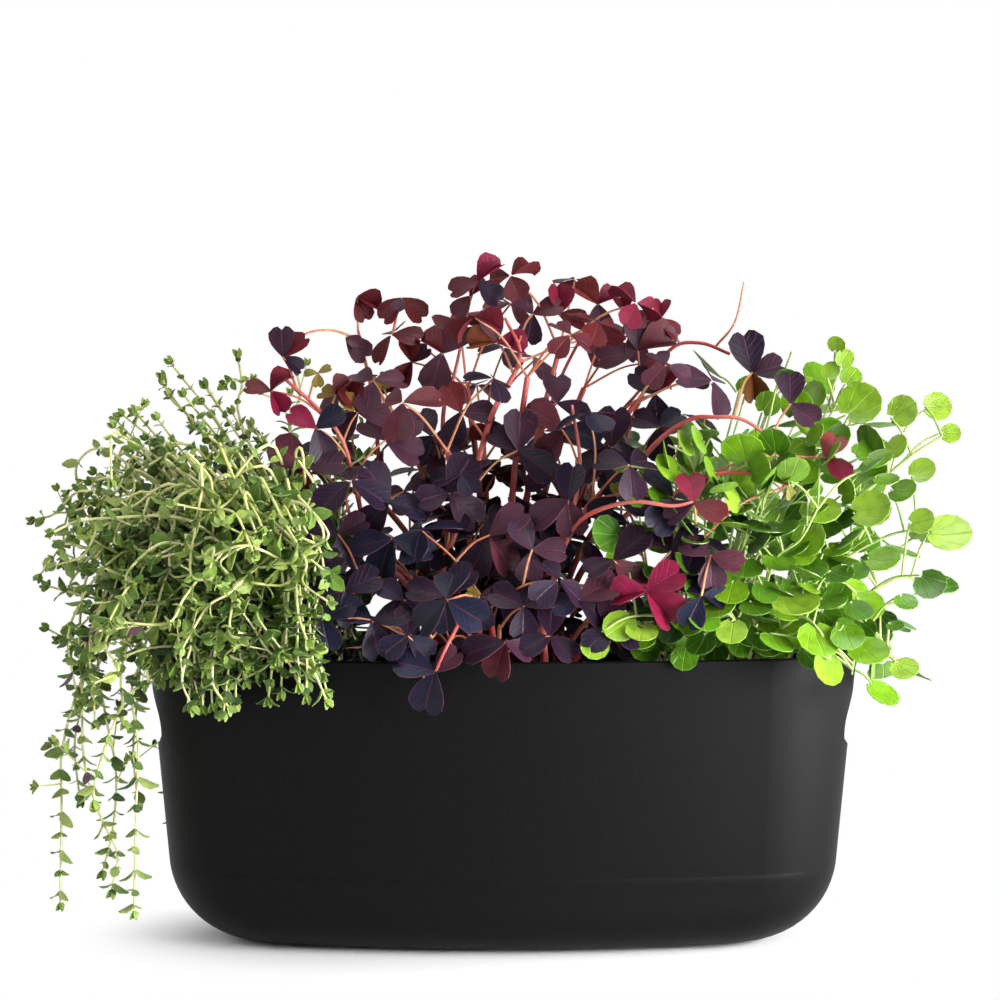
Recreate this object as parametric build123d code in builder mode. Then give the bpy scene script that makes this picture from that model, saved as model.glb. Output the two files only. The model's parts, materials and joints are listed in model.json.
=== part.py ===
"""Indoor herb planter: an oval self-watering tub that holds three potted herbs in a row.

Millimetres, +Z up. The origin is on the table, under the middle of the tub.
+X runs along the row of pots, and the front of the planter looks along -Y.
"""
import os
from itertools import count
from math import atan2, cos, degrees, pi, radians, sin, sqrt, tan
from random import Random

import numpy as np
from build123d import *

os.makedirs("parts", exist_ok=True)

# Herb pots: the bought size that the planter is built round
pot_diameter = 100.0
pot_base_diameter = 72.0
pot_height = 84.0
pot_wall = 1.2
pot_floor = 1.6
pot_collar = 13.0
pot_collar_step = 1.4
pot_collar_flare = 0.6
pot_gap = 4.0
drain_hole = 8.0
drain_circle = 46.0
drain_count = 4

# Potting soil
soil_below_pot_rim = 14.0
soil_clearance = 0.3
soil_shoulder = 5.0

# Tub
wall = 3.0
wall_taper = 5.2
side_room = 20.0
end_room = 19.5
end_radius = 58.0
end_base_radius = 42.0
side_base_radius = 24.0
rim_above_pots = 11.4
rim_round = 1.0

# Finger scoop across each end of the tub
scoop_below_rim = 35.0
scoop_face_height = 7.8
scoop_depth = 4.8
scoop_upper_angle = 20.7
scoop_lower_angle = 34.0
scoop_upper_round = 30.0
scoop_lower_round = 1.5

# Rubber feet
foot_diameter = 14.0
foot_proud = 1.0
foot_recess = 1.0
foot_clearance = 0.2
foot_spacing_x = 150.0
foot_spacing_y = 36.0

# Pot tray and water reservoir
reservoir_depth = 39.5
tray_plate = 2.5
tray_clearance = 1.0
tray_lip_height = 7.0
tray_lip_wall = 2.0
seat_rib_wall = 2.0
seat_rib_height = 5.0
seat_clearance = 1.0
leg_diameter = 9.0
leg_foot_diameter = 7.0
leg_spacing_y = 24.0
pour_hole_length = 30.0
pour_hole_width = 15.0
pour_hole_from_middle = 41.0

# Capillary felt
mat_thickness = 2.5
mat_clearance = 1.0
wick_width = 14.0
wick_thickness = 2.5
wick_slot_clearance = 0.8
wick_off_floor = 1.0

# Herbs, measured from the soil and from the middle of their own pot
leaf_thickness = 0.6
leaf_gap = 0.15
leaf_room = 1.7
stem_room = 0.5
stem_spacing = 2.0
herb_clearance = 2.5
herb_off_table = 8.0
root_length = 3.0
root_margin = 3.0
trail_out = 7.0
trail_crest = 14.0
trail_steps = 5
trail_root = 0.95
trail_bend = 1.7
spots_at_joint = 4
joint_room = 6.0
crown_least = 0.8
stem_rise = 0.6
arch_steps = 3
size_range = (0.8, 1.1)
leaf_forward = 0.6
leaf_tries = 4

oxalis_stems = 20
oxalis_stem_sides = 5
oxalis_stem = 4.6
oxalis_stalk = 1.4
oxalis_stalk_length = 46.0
oxalis_forks = 3
fork_tries = 13
fork_forward = 0.75
fork_spread = (0.5, 0.9)
stalk_bow = 0.125
oxalis_leaflet = 20.0
leaflet_droop = 0.35
trefoil_facing = (0, -0.35, 0.8)
oxalis_lean = 10.0
oxalis_reach = 155.0
oxalis_depth = 82.0
oxalis_height = 244.0
oxalis_edge = 70.0
oxalis_trails_x = (-38.0, -2.0)
oxalis_trails_drop = (10.0, 4.0)

cress_stems = 28
cress_stem = 1.8
cress_leaf = 27.0
cress_leaves_per_stem = 3
cress_first_leaf = 0.55
cress_lean = 26.0
cress_reach = 80.0
cress_depth = 72.0
cress_height = 176.0
cress_edge = 48.0
cress_trails = 4
cress_trail_turn = 0.7
cress_trail_drop = 8.0
cress_trail_spread = (2, 4)

thyme_stems = 54
thyme_stem = 1.2
thyme_leaf = 9.0
thyme_leaf_width = 0.6
thyme_leafy_share = 0.6
thyme_pair_spacing = 14.0
thyme_lean = -50.0
thyme_reach = 74.0
thyme_depth = 72.0
thyme_height = 166.0
thyme_edge = 45.0
thyme_trails = 8
thyme_trail_turn = 0.9
thyme_trail_drop = 138.0
thyme_trail_spread = (1.8, 6.4)
thyme_front_trails = 7
thyme_front_drop = 22.0

# Heights, stacked up from the table
floor_z = foot_proud + wall
tray_under_z = floor_z + reservoir_depth
tray_z = tray_under_z + tray_plate
pot_z = tray_z + mat_thickness
pot_rim_z = pot_z + pot_height
soil_z = pot_rim_z - soil_below_pot_rim
rim_z = pot_rim_z + rim_above_pots
tub_height = rim_z - foot_proud

# Plan sizes, worked out from the row of pots
pot_radius = pot_diameter / 2
pot_base_radius = pot_base_diameter / 2
pot_pitch = pot_diameter + pot_gap
herb_places = {"thyme": -pot_pitch, "oxalis": 0.0, "cress": pot_pitch}
half_length = pot_pitch + pot_radius + end_room
half_width = pot_radius + side_room
slope = tan(radians(wall_taper))


def wall_inset(z, base_radius, depth):
    """How far the wall has drawn in from the rim at height z. depth 0 is the outside, wall the inside."""
    taper = radians(wall_taper)
    height = z - foot_proud
    radius = base_radius - depth
    if height >= base_radius - radius * sin(taper):
        return (tub_height - height) * slope + depth / cos(taper)
    drop = tub_height - base_radius * (1 - sin(taper))
    centre = drop * slope + base_radius * cos(taper)
    return centre - sqrt(max(radius**2 - (base_radius - height) ** 2, 0.0))


def tub_plan(z, depth):
    """Half length, half width and end radius of the tub's oval at height z."""
    end_inset = wall_inset(z, end_base_radius, depth)
    side_inset = wall_inset(z, side_base_radius, depth)
    return half_length - end_inset, half_width - side_inset, end_radius - side_inset


def oval_arcs(long, wide, round_end):
    """Radius of the oval's side arcs, and the angle in degrees at which they meet the ends."""
    side = ((long - round_end) ** 2 + wide**2 - round_end**2) / (2 * (wide - round_end))
    return side, degrees(atan2(long - round_end, side - wide))


def oval(long, wide, round_end):
    """The face of an oval of four tangent arcs."""
    side, meet = oval_arcs(long, wide, round_end)
    with BuildSketch() as face:
        with BuildLine():
            CenterArc((long - round_end, 0), round_end, meet - 90, 180 - 2 * meet)
            CenterArc((0, wide - side), side, 90 - meet, 2 * meet)
            CenterArc((round_end - long, 0), round_end, 90 + meet, 180 - 2 * meet)
            CenterArc((0, side - wide), side, 270 - meet, 2 * meet)
        make_face()
    return face.sketch


def tub_form(depth):
    """The tub as a solid: a rounded base, lofted through ovals, under a straight tapered wall."""
    lowest = foot_proud + depth
    radius = end_base_radius - depth
    corner_steps = 8
    turn = pi / 2 - radians(wall_taper)
    corner = [lowest + radius * (1 - cos(turn * step / corner_steps)) for step in range(corner_steps + 1)]
    with BuildPart() as form:
        for height in corner:
            with BuildSketch(Plane.XY.offset(height)):
                add(oval(*tub_plan(height, depth)))
        loft()
        for height in (corner[-1], rim_z):
            with BuildSketch(Plane.XY.offset(height)):
                add(oval(*tub_plan(height, depth)))
        loft(ruled=True)
    return form.part


# How far from the middle the flat face of each scoop lies
scoop_face = half_length - wall_inset(rim_z - scoop_below_rim, end_base_radius, 0) - scoop_depth


def scoop_profile(inward):
    """The end scoops' outline in the XZ plane, moved inward to follow the other face of the wall."""
    top = rim_z - scoop_below_rim
    bottom = top - scoop_face_height
    face = scoop_face - inward
    reach = half_length - face
    above = (half_length, top + reach / tan(radians(scoop_upper_angle)))
    below = (half_length, bottom - reach / tan(radians(scoop_lower_angle)))
    with BuildSketch() as profile:
        with BuildLine():
            FilletPolyline(
                above, (face, top), (face, bottom), below, radius=(scoop_upper_round, scoop_lower_round)
            )
            Line(below, above)
        make_face()
        mirror(about=Plane.YZ)
    return profile.sketch


# Outer shell: a lofted oval tub, hollowed to an even wall, with a finger scoop in each end
with BuildPart() as tub_cavity:
    add(tub_form(wall))
    with BuildSketch(Plane.XZ):
        add(scoop_profile(wall))
    extrude(amount=half_width, both=True, mode=Mode.SUBTRACT)

with BuildPart() as outer_shell:
    add(tub_form(0))
    with BuildSketch(Plane.XZ):
        add(scoop_profile(0))
    extrude(amount=half_width, both=True, mode=Mode.SUBTRACT)
    add(tub_cavity.part, mode=Mode.SUBTRACT)
    with BuildSketch(Plane.XY.offset(foot_proud)):
        with GridLocations(foot_spacing_x, foot_spacing_y, 2, 2):
            Circle(foot_diameter / 2)
    extrude(amount=foot_recess, mode=Mode.SUBTRACT)
    fillet(outer_shell.edges().group_by(Axis.Z)[-1], rim_round)
outer_shell.part.label = "outer_shell"
export_step(outer_shell.part, "parts/outer_shell.step")

# Rubber feet: four pads pressed into recesses under the tub
with BuildPart() as rubber_feet:
    with BuildSketch():
        with GridLocations(foot_spacing_x, foot_spacing_y, 2, 2):
            Circle(foot_diameter / 2 - foot_clearance)
    extrude(amount=foot_proud + foot_recess)
rubber_feet.part.label = "rubber_feet"
export_step(rubber_feet.part, "parts/rubber_feet.step")

# Pot tray: an oval plate on four legs, with a lip, a round seat and a wick slot for each pot, and
# two holes behind the pots where water is poured in
tray_long, tray_wide, tray_end = tub_plan(tray_under_z, wall)
tray_long = min(tray_long, scoop_face - wall)
tray_outline = [size - tray_clearance for size in (tray_long, tray_wide, tray_end)]
tray_inside = [size - tray_lip_wall for size in tray_outline]
seat_radius = pot_base_radius + seat_clearance
leg_taper = degrees(atan2(leg_diameter - leg_foot_diameter, 2 * reservoir_depth))
pot_centres = [(x, 0) for x in herb_places.values()]
with BuildPart() as pot_tray:
    with BuildSketch(Plane.XY.offset(tray_under_z)):
        add(oval(*tray_outline))
        with Locations(*pot_centres):
            Rectangle(
                wick_width + 2 * wick_slot_clearance,
                wick_thickness + 2 * wick_slot_clearance,
                mode=Mode.SUBTRACT,
            )
        with GridLocations(pot_pitch, 0, 2, 1):
            with Locations((0, pour_hole_from_middle)):
                SlotOverall(pour_hole_length, pour_hole_width, mode=Mode.SUBTRACT)
    extrude(amount=tray_plate)
    with BuildSketch(Plane.XY.offset(tray_z)):
        add(oval(*tray_outline))
        add(oval(*tray_inside), mode=Mode.SUBTRACT)
    extrude(amount=tray_lip_height)
    with BuildSketch(Plane.XY.offset(tray_z)):
        with Locations(*pot_centres):
            Circle(seat_radius + seat_rib_wall)
            Circle(seat_radius, mode=Mode.SUBTRACT)
    extrude(amount=seat_rib_height)
    with BuildSketch(Plane.XY.offset(floor_z)):
        with GridLocations(pot_pitch, leg_spacing_y, 2, 2):
            Circle(leg_foot_diameter / 2)
    extrude(amount=reservoir_depth, taper=-leg_taper)
pot_tray.part.label = "pot_tray"
export_step(pot_tray.part, "parts/pot_tray.step")

# Pot profile: a tapered body under a stepped collar
pot_collar_z = pot_height - pot_collar
pot_neck = pot_radius - pot_collar_flare - pot_collar_step
pot_slope = (pot_neck - pot_base_radius) / pot_collar_z


def pot_inside(height):
    """Inner radius of a pot's body at a height above the pot's own base."""
    return pot_base_radius + pot_slope * height - pot_wall


for herb, place in herb_places.items():
    # Felt mat that the pot stands on
    with BuildPart() as felt_mat:
        with BuildSketch(Plane((place, 0, tray_z))):
            Circle(seat_radius - mat_clearance)
        extrude(amount=mat_thickness)
    felt_mat.part.label = f"{herb}_mat"
    export_step(felt_mat.part, f"parts/{herb}_mat.step")

    # Felt wick that hangs from the mat, through the tray, into the water
    wick_bottom = floor_z + wick_off_floor
    with BuildPart() as wick:
        with BuildSketch(Plane.XZ):
            with Locations((place, (wick_bottom + tray_z) / 2)):
                wick_face = Rectangle(wick_width, tray_z - wick_bottom)
            fillet(wick_face.vertices().group_by(Axis.Y)[0], wick_width / 3)
        extrude(amount=wick_thickness / 2, both=True)
    wick.part.label = f"{herb}_wick"
    export_step(wick.part, f"parts/{herb}_wick.step")

    # Nursery pot, turned about its own axis, with drain holes in its floor
    pot_side = Plane((place, 0, pot_z), x_dir=(1, 0, 0), z_dir=(0, -1, 0))
    pot_axis = Axis((place, 0, 0), (0, 0, 1))
    with BuildPart() as pot:
        with BuildSketch(pot_side):
            with BuildLine():
                Polyline(
                    (0, 0),
                    (pot_base_radius, 0),
                    (pot_neck, pot_collar_z),
                    (pot_neck + pot_collar_step, pot_collar_z),
                    (pot_radius, pot_height),
                    (pot_radius - pot_wall, pot_height),
                    (pot_neck + pot_collar_step - pot_wall, pot_collar_z + pot_wall),
                    (pot_inside(pot_collar_z + pot_wall), pot_collar_z + pot_wall),
                    (pot_inside(pot_floor), pot_floor),
                    (0, pot_floor),
                    close=True,
                )
            make_face()
        revolve(axis=pot_axis)
        with BuildSketch(Plane((place, 0, pot_z))):
            Circle(drain_hole / 2)
            with PolarLocations(drain_circle / 2, drain_count):
                Circle(drain_hole / 2)
        extrude(amount=pot_floor, mode=Mode.SUBTRACT)
    pot.part.label = f"{herb}_pot"
    export_step(pot.part, f"parts/{herb}_pot.step")

    # Potting soil, crumbled down at its edge
    soil_top = soil_z - pot_z
    with BuildPart() as soil:
        with BuildSketch(pot_side):
            with BuildLine():
                Polyline(
                    (0, pot_floor),
                    (pot_inside(pot_floor) - soil_clearance, pot_floor),
                    (pot_inside(soil_top - soil_shoulder / 2) - soil_clearance, soil_top - soil_shoulder / 2),
                    (pot_inside(soil_top) - soil_shoulder, soil_top),
                    (0, soil_top),
                    close=True,
                )
            make_face()
        revolve(axis=pot_axis)
    soil.part.label = f"{herb}_soil"
    export_step(soil.part, f"parts/{herb}_soil.step")


class Thicket:
    """Where stems and leaves already are, so that a new one is only grown where there is room."""

    def __init__(self):
        self.points = np.empty((0, 3))
        self.room = np.empty(0)
        self.owner = np.empty(0, int)

    def claim(self, points, room, owner):
        self.points = np.vstack([self.points, points])
        self.room = np.concatenate([self.room, np.full(len(points), room)])
        self.owner = np.concatenate([self.owner, np.full(len(points), owner)])

    def is_free(self, points, room, owner):
        """Whether points keep their room from the tub and from what other stems carry."""
        if not clear_of_tub(points):
            return False
        reach = room + leaf_room
        near = (self.points > points.min(0) - reach).all(1) & (self.points < points.max(0) + reach).all(1)
        near &= self.owner != owner
        if not near.any():
            return True
        gaps = np.linalg.norm(points[:, None] - self.points[None, near], axis=2)
        return bool((gaps > self.room[near] + room).all())


def clear_of_tub(points):
    """Whether points stay off the tub's wall, off the table and out of the space round the pots."""
    x, y = np.abs(points[:, 0]), np.abs(points[:, 1])
    side, _ = oval_arcs(half_length, half_width, end_radius)
    middle = half_length - end_radius
    on_end = (x - middle) * (side - half_width) > y * middle
    outside = np.where(on_end, np.hypot(x - middle, y) - end_radius, np.hypot(x, y + side - half_width) - side)
    low = points[:, 2] < rim_z + herb_clearance
    over_wall = (outside > -wall - herb_clearance) & (outside < herb_clearance)
    return not (low & over_wall).any() and points[:, 2].min() > herb_off_table


def along(points, spacing):
    """Points at an even spacing along a path."""
    runs = np.linalg.norm(np.diff(points, axis=0), axis=1)
    travelled = np.concatenate([[0], np.cumsum(runs)])
    stops = np.linspace(0, travelled[-1], max(int(travelled[-1] / spacing), 2))
    return np.column_stack([np.interp(stops, travelled, points[:, axis]) for axis in range(3)])


def unit(vector):
    return np.asarray(vector, float) / np.linalg.norm(vector)


def arch(start, end):
    """A path that leaves start straight up and leans over to end."""
    start, end = np.asarray(start, float), np.asarray(end, float)
    lean = start + [0, 0, stem_rise * (end[2] - start[2])]
    share = np.linspace(0, 1, arch_steps + 1)[1:, None]
    curve = (1 - share) ** 2 * (start + [0, 0, root_length]) + 2 * share * (1 - share) * lean + share**2 * end
    return np.vstack([start, start + [0, 0, root_length], curve])


def stem_solid(points, radius, sides):
    """A stem with a few flat sides along a path."""
    points = [Vector(*point) for point in points]
    with BuildPart() as stem:
        with BuildLine() as path:
            Polyline(*points)
        with BuildSketch(Plane(origin=points[0], z_dir=points[1] - points[0])):
            RegularPolygon(radius, sides)
        sweep(path=path.wire(), transition=Transition.RIGHT)
    return stem.part.solid()


def leaf_solid(base, direction, face_up, outline, length, width):
    """A thin leaf. The outline lists how far along it is, and its half width there, as shares of its size."""
    upper = [(length * far, width * half) for far, half in outline]
    lower = [(far, -half) for far, half in reversed(upper) if half]
    with BuildPart() as leaf:
        with BuildSketch(Plane(origin=Vector(*base), x_dir=Vector(*direction), z_dir=Vector(*face_up))):
            with BuildLine():
                Polyline(*upper, *lower, close=True)
            make_face()
        extrude(amount=leaf_thickness)
    return leaf.part.solid()


def leaf_points(base, direction, face_up, outline, length, width):
    """Points spread over a leaf, no further apart than its room."""
    across = np.cross(face_up, direction)
    shares, halves = zip(*sorted(outline))
    spots = []
    for far in np.linspace(0, length, max(int(length / leaf_room) + 1, 3)):
        half = width * np.interp(far / length, shares, halves)
        for side in np.linspace(-half, half, int(2 * half / leaf_room) + 2):
            spots.append(base + direction * far + across * side)
    return np.array(spots)


class Herb:
    """One plant: its stems and leaves as solids, grown from the soil of its own pot."""

    def __init__(self, name, stem_radius, outline):
        self.name = name
        self.place = herb_places[name]
        self.stem_radius = stem_radius
        self.outline = outline
        self.vary = Random(name)
        self.stems = []
        self.leaves = []

    def grow_stem(self, path, radius, sides=3, parent=None):
        """Adds a stem where there is room, and returns its number, or None."""
        spots = along(path, stem_spacing)
        checked = spots if parent is None else spots[spots_at_joint:]
        if not thicket.is_free(checked, radius + stem_room, parent):
            return None
        number = next(numbers)
        thicket.claim(spots, radius + stem_room, number)
        self.stems.append(stem_solid(path, radius, sides))
        return number

    def have_room(self, blades, stem):
        """Whether leaves, each (base, direction, face_up, length, width), are clear of all but their joint."""
        for base, way, up, *size in blades:
            points = leaf_points(base, way, up, self.outline, *size)
            off_joint = points[np.linalg.norm(points - base, axis=1) > joint_room]
            if not thicket.is_free(points, leaf_room, stem) or not thicket.is_free(off_joint, leaf_room, None):
                return False
        return True

    def grow_leaves(self, blades, stem):
        """Adds a group of leaves if all of them have room."""
        if self.have_room(blades, stem):
            for base, way, up, *size in blades:
                points = leaf_points(base, way, up, self.outline, *size)
                thicket.claim(points, leaf_room, next(numbers))
                self.leaves.append(leaf_solid(base, way, up, self.outline, *size))

    def root(self, share, turn):
        """A place on the soil, a share of the way out from the pot's middle."""
        spread = pot_inside(soil_z - pot_z) - soil_shoulder - root_margin
        return np.array([self.place + spread * share * cos(turn), spread * share * sin(turn), soil_z])

    def crown(self, share, turn, lean, reach_x, reach_y, height, edge_height):
        """A place on the plant's domed outside, the same share out and turn round as its root."""
        rise = edge_height + (height - edge_height) * (1 - share**2) * self.vary.uniform(crown_least, 1)
        return np.array(
            [self.place + lean + reach_x * share * cos(turn), reach_y * share * sin(turn), soil_z + rise]
        )

    def over_end(self, turn, out, drop, end):
        """A trailing path: up from the soil, out over one end of the tub (-1 or 1), and down outside it."""
        away = np.array([end * cos(turn), sin(turn), 0])
        edge = np.array([end * (half_length - end_radius), 0, rim_z]) + away * (end_radius + out)
        return self.trail(self.root(trail_root, atan2(away[1], away[0])), edge, drop)

    def over_front(self, x, out, drop):
        """A trailing path over the front of the tub."""
        side, _ = oval_arcs(half_length, half_width, end_radius)
        edge = np.array([x, side - half_width - sqrt(side**2 - x**2) - out, rim_z])
        return self.trail(self.root(trail_root, atan2(edge[1], x - self.place)), edge, drop)

    def trail(self, start, edge, drop):
        """Rises from the soil to a crest inside the rim, then arcs out to edge and falls below the rim."""
        crest = start + (edge - start) / 2
        crest[2] = rim_z + trail_crest
        sway = np.array([self.vary.uniform(-1, 1), self.vary.uniform(-1, 0), 0]) * trail_out
        fall = []
        for share in np.linspace(0, 1, trail_steps + 1)[1:]:
            level = crest + (edge - crest) * (1 - (1 - share) ** 3) + sway * share
            fall.append([level[0], level[1], crest[2] - (drop + trail_crest) * share**trail_bend])
        return np.vstack([start, start + [0, 0, root_length], crest, *fall])


def frame_at(path, share):
    """The place and direction of a path, a share of the way along it."""
    spots = along(path, stem_spacing)
    spot = min(int(share * (len(spots) - 1)), len(spots) - 2)
    return spots[spot], unit(spots[spot + 1] - spots[spot])


def beside(way, turn):
    """A direction square to way, turned about it."""
    level = unit(np.cross(way, (1, 0, 0) if abs(way[2]) > abs(way[0]) else (0, 0, 1)))
    return cos(turn) * level + sin(turn) * np.cross(way, level)


def facing_up(direction, way):
    """The upper face of a leaf: square to its direction, towards the sky and the stem's tip."""
    wanted = np.array([0, 0, 1.0]) + leaf_forward * way
    return unit(wanted - direction * (wanted @ direction))


thicket = Thicket()
numbers = count(1)
golden_turn = radians(137.508)

# Oxalis: thick stems that fork into thin stalks, each with three notched leaflets
oxalis = Herb("oxalis", oxalis_stem / 2, [(0, 0.05), (0.6, 0.46), (1, 0.32), (0.87, 0)])


def trefoil(herb, tip, heading):
    """Three leaflets round the tip of a stalk, drooping away from the light."""
    sky = unit(heading + trefoil_facing)
    spin = herb.vary.uniform(0, 2 * pi)
    size = oxalis_leaflet * herb.vary.uniform(*size_range)
    blades = []
    for leaflet in range(3):
        out = unit(beside(sky, spin + leaflet * 2 * pi / 3) - leaflet_droop * sky)
        up = unit(sky - out * (sky @ out))
        base = tip + heading * leaf_thickness + out * (oxalis_stalk / 2 + leaf_gap)
        blades.append((base, out, up, size, size))
    return blades


def grow_trefoils(herb, path, stem, stalk_length):
    """Forks a stem into stalks that end in trefoils."""
    fork_point, way = frame_at(path, 1)
    for fork in range(oxalis_forks):
        for turn in np.linspace(0, 2 * pi, fork_tries):
            aside = beside(way, turn + fork * 2 * pi / oxalis_forks)
            tip = fork_point + stalk_length * unit(fork_forward * way + aside * herb.vary.uniform(*fork_spread))
            bow = (fork_point + tip) / 2 + way * stalk_length * stalk_bow
            stalk = np.vstack([fork_point - way, bow, tip])
            blades = trefoil(herb, tip, unit(tip - bow))
            if not herb.have_room(blades, None):
                continue
            number = herb.grow_stem(stalk, oxalis_stalk / 2, parent=stem)
            if number:
                herb.grow_leaves(blades, number)
                break


def grow_oxalis_stems():
    """Thick stems that fan out towards the plant's dome. Gives each path, stem and length of stalk."""
    for index in range(oxalis_stems):
        share = sqrt((index + 0.5) / oxalis_stems)
        turn = index * golden_turn
        root = oxalis.root(share, turn)
        crown = oxalis.crown(share, turn, oxalis_lean, oxalis_reach, oxalis_depth, oxalis_height, oxalis_edge)
        stalk_length = oxalis_stalk_length * oxalis.vary.uniform(*size_range)
        end = crown - unit(crown - root) * (stalk_length + oxalis_leaflet / 2)
        path = arch(root, end)
        yield path, oxalis.grow_stem(path, oxalis.stem_radius, oxalis_stem_sides), stalk_length


def grow_oxalis_trails():
    """Thin stalks that hang over the front of the tub."""
    for x, drop in zip(oxalis_trails_x, oxalis_trails_drop):
        path = oxalis.over_front(x, trail_out, drop)
        stem = oxalis.grow_stem(path, oxalis_stalk / 2)
        if stem:
            oxalis.grow_leaves(trefoil(oxalis, *frame_at(path, 1)), stem)


# Cress: soft stems with round leaves on short stalks, one after another round the stem
cress = Herb("cress", cress_stem / 2, [(0, 0.04), (0.3, 0.08), (0.62, 0.48), (0.96, 0.26)])


def grow_round_leaves(herb, path, stem):
    """Round leaves along the upper part of a stem, each turned on from the last."""
    spin = herb.vary.uniform(0, 2 * pi)
    for step, share in enumerate(np.linspace(cress_first_leaf, 1, cress_leaves_per_stem)):
        spot, way = frame_at(path, share)
        size = cress_leaf * herb.vary.uniform(*size_range)
        for retry in range(leaf_tries):
            aside = beside(way, spin + (step + retry / 2) * golden_turn)
            direction = unit(aside + leaf_forward * way)
            base = spot + aside * (herb.stem_radius + leaf_thickness / 2 + leaf_gap)
            blade = (base, direction, facing_up(direction, way), size, size)
            if herb.have_room([blade], stem):
                herb.grow_leaves([blade], stem)
                break


def cress_paths():
    """Stems that fan out to the plant's dome, and a few that lean over the end of the tub."""
    for turn in np.linspace(-cress_trail_turn, cress_trail_turn, cress_trails):
        yield cress.over_end(turn, trail_out * cress.vary.uniform(*cress_trail_spread), cress_trail_drop, 1)
    for index in range(cress_stems):
        share = sqrt((index + 0.5) / cress_stems)
        turn = index * golden_turn
        root = cress.root(share, turn)
        crown = cress.crown(share, turn, cress_lean, cress_reach, cress_depth, cress_height, cress_edge)
        yield arch(root, crown)


# Thyme: many wiry stems with small leaves in opposite pairs, and strands that trail over the tub
thyme = Herb("thyme", thyme_stem / 2, [(0, 0), (0.45, 0.5), (1, 0)])


def grow_pairs(herb, path, stem, spacing):
    """Opposite pairs of leaves along a stem, each pair a quarter turn on from the last."""
    length = np.linalg.norm(np.diff(path, axis=0), axis=1).sum()
    first = 1 - thyme_leafy_share
    spin = herb.vary.uniform(0, pi)
    for step, share in enumerate(np.linspace(first, 1, max(int(length * thyme_leafy_share / spacing), 2))):
        spot, way = frame_at(path, share)
        for side in (0, pi):
            aside = beside(way, spin + step * pi / 2 + side)
            direction = unit(aside + leaf_forward * way)
            base = spot + aside * (herb.stem_radius + leaf_thickness / 2 + leaf_gap)
            size = thyme_leaf * herb.vary.uniform(*size_range)
            herb.grow_leaves([(base, direction, facing_up(direction, way), size, size * thyme_leaf_width)], stem)


def thyme_paths():
    """Strands that trail over the end and the front of the tub, then stems that fan out to the dome."""
    for turn in np.linspace(-thyme_trail_turn, thyme_trail_turn, thyme_trails):
        drop = thyme_trail_drop * thyme.vary.uniform(0.3, 1)
        yield thyme.over_end(turn, trail_out * thyme.vary.uniform(*thyme_trail_spread), drop, -1)
    for x in np.linspace(-half_length + end_radius / 2, thyme.place + pot_radius / 2, thyme_front_trails):
        yield thyme.over_front(x, trail_out, thyme_front_drop * thyme.vary.uniform(0.4, 1))
    for index in range(thyme_stems):
        share = sqrt((index + 0.5) / thyme_stems)
        turn = index * golden_turn
        root = thyme.root(share, turn)
        crown = thyme.crown(share, turn, thyme_lean, thyme_reach, thyme_depth, thyme_height, thyme_edge)
        yield arch(root, crown)


# Stems first, so that leaves fill the room that is left between them
oxalis_grown = list(grow_oxalis_stems())
grow_oxalis_trails()
cress_grown = [(path, cress.grow_stem(path, cress.stem_radius)) for path in cress_paths()]
thyme_grown = [(path, thyme.grow_stem(path, thyme.stem_radius)) for path in thyme_paths()]
for path, stem, stalk_length in oxalis_grown:
    if stem:
        grow_trefoils(oxalis, path, stem, stalk_length)
for path, stem in cress_grown:
    if stem:
        grow_round_leaves(cress, path, stem)
for path, stem in thyme_grown:
    if stem:
        grow_pairs(thyme, path, stem, thyme_pair_spacing)

for herb in (thyme, oxalis, cress):
    with BuildPart() as herb_stems:
        add(herb.stems)
    herb_stems.part.label = f"{herb.name}_stems"
    export_step(herb_stems.part, f"parts/{herb.name}_stems.step")

    with BuildPart() as herb_leaves:
        add(herb.leaves)
    herb_leaves.part.label = f"{herb.name}_leaves"
    export_step(herb_leaves.part, f"parts/{herb.name}_leaves.step")
    print(herb.name, len(herb.stems), "stems", len(herb.leaves), "leaves")
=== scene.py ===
# %% [markdown]
# An indoor herb planter: a matt black oval tub with three potted herbs in it.
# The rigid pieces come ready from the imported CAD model, so this lesson gives them their finishes,
# and then models what CAD can only stand in for: crumbly soil, wiry thyme, red oxalis and cress.

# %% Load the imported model
import json
import math
import random

import bpy
from mathutils import Matrix, Vector

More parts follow.
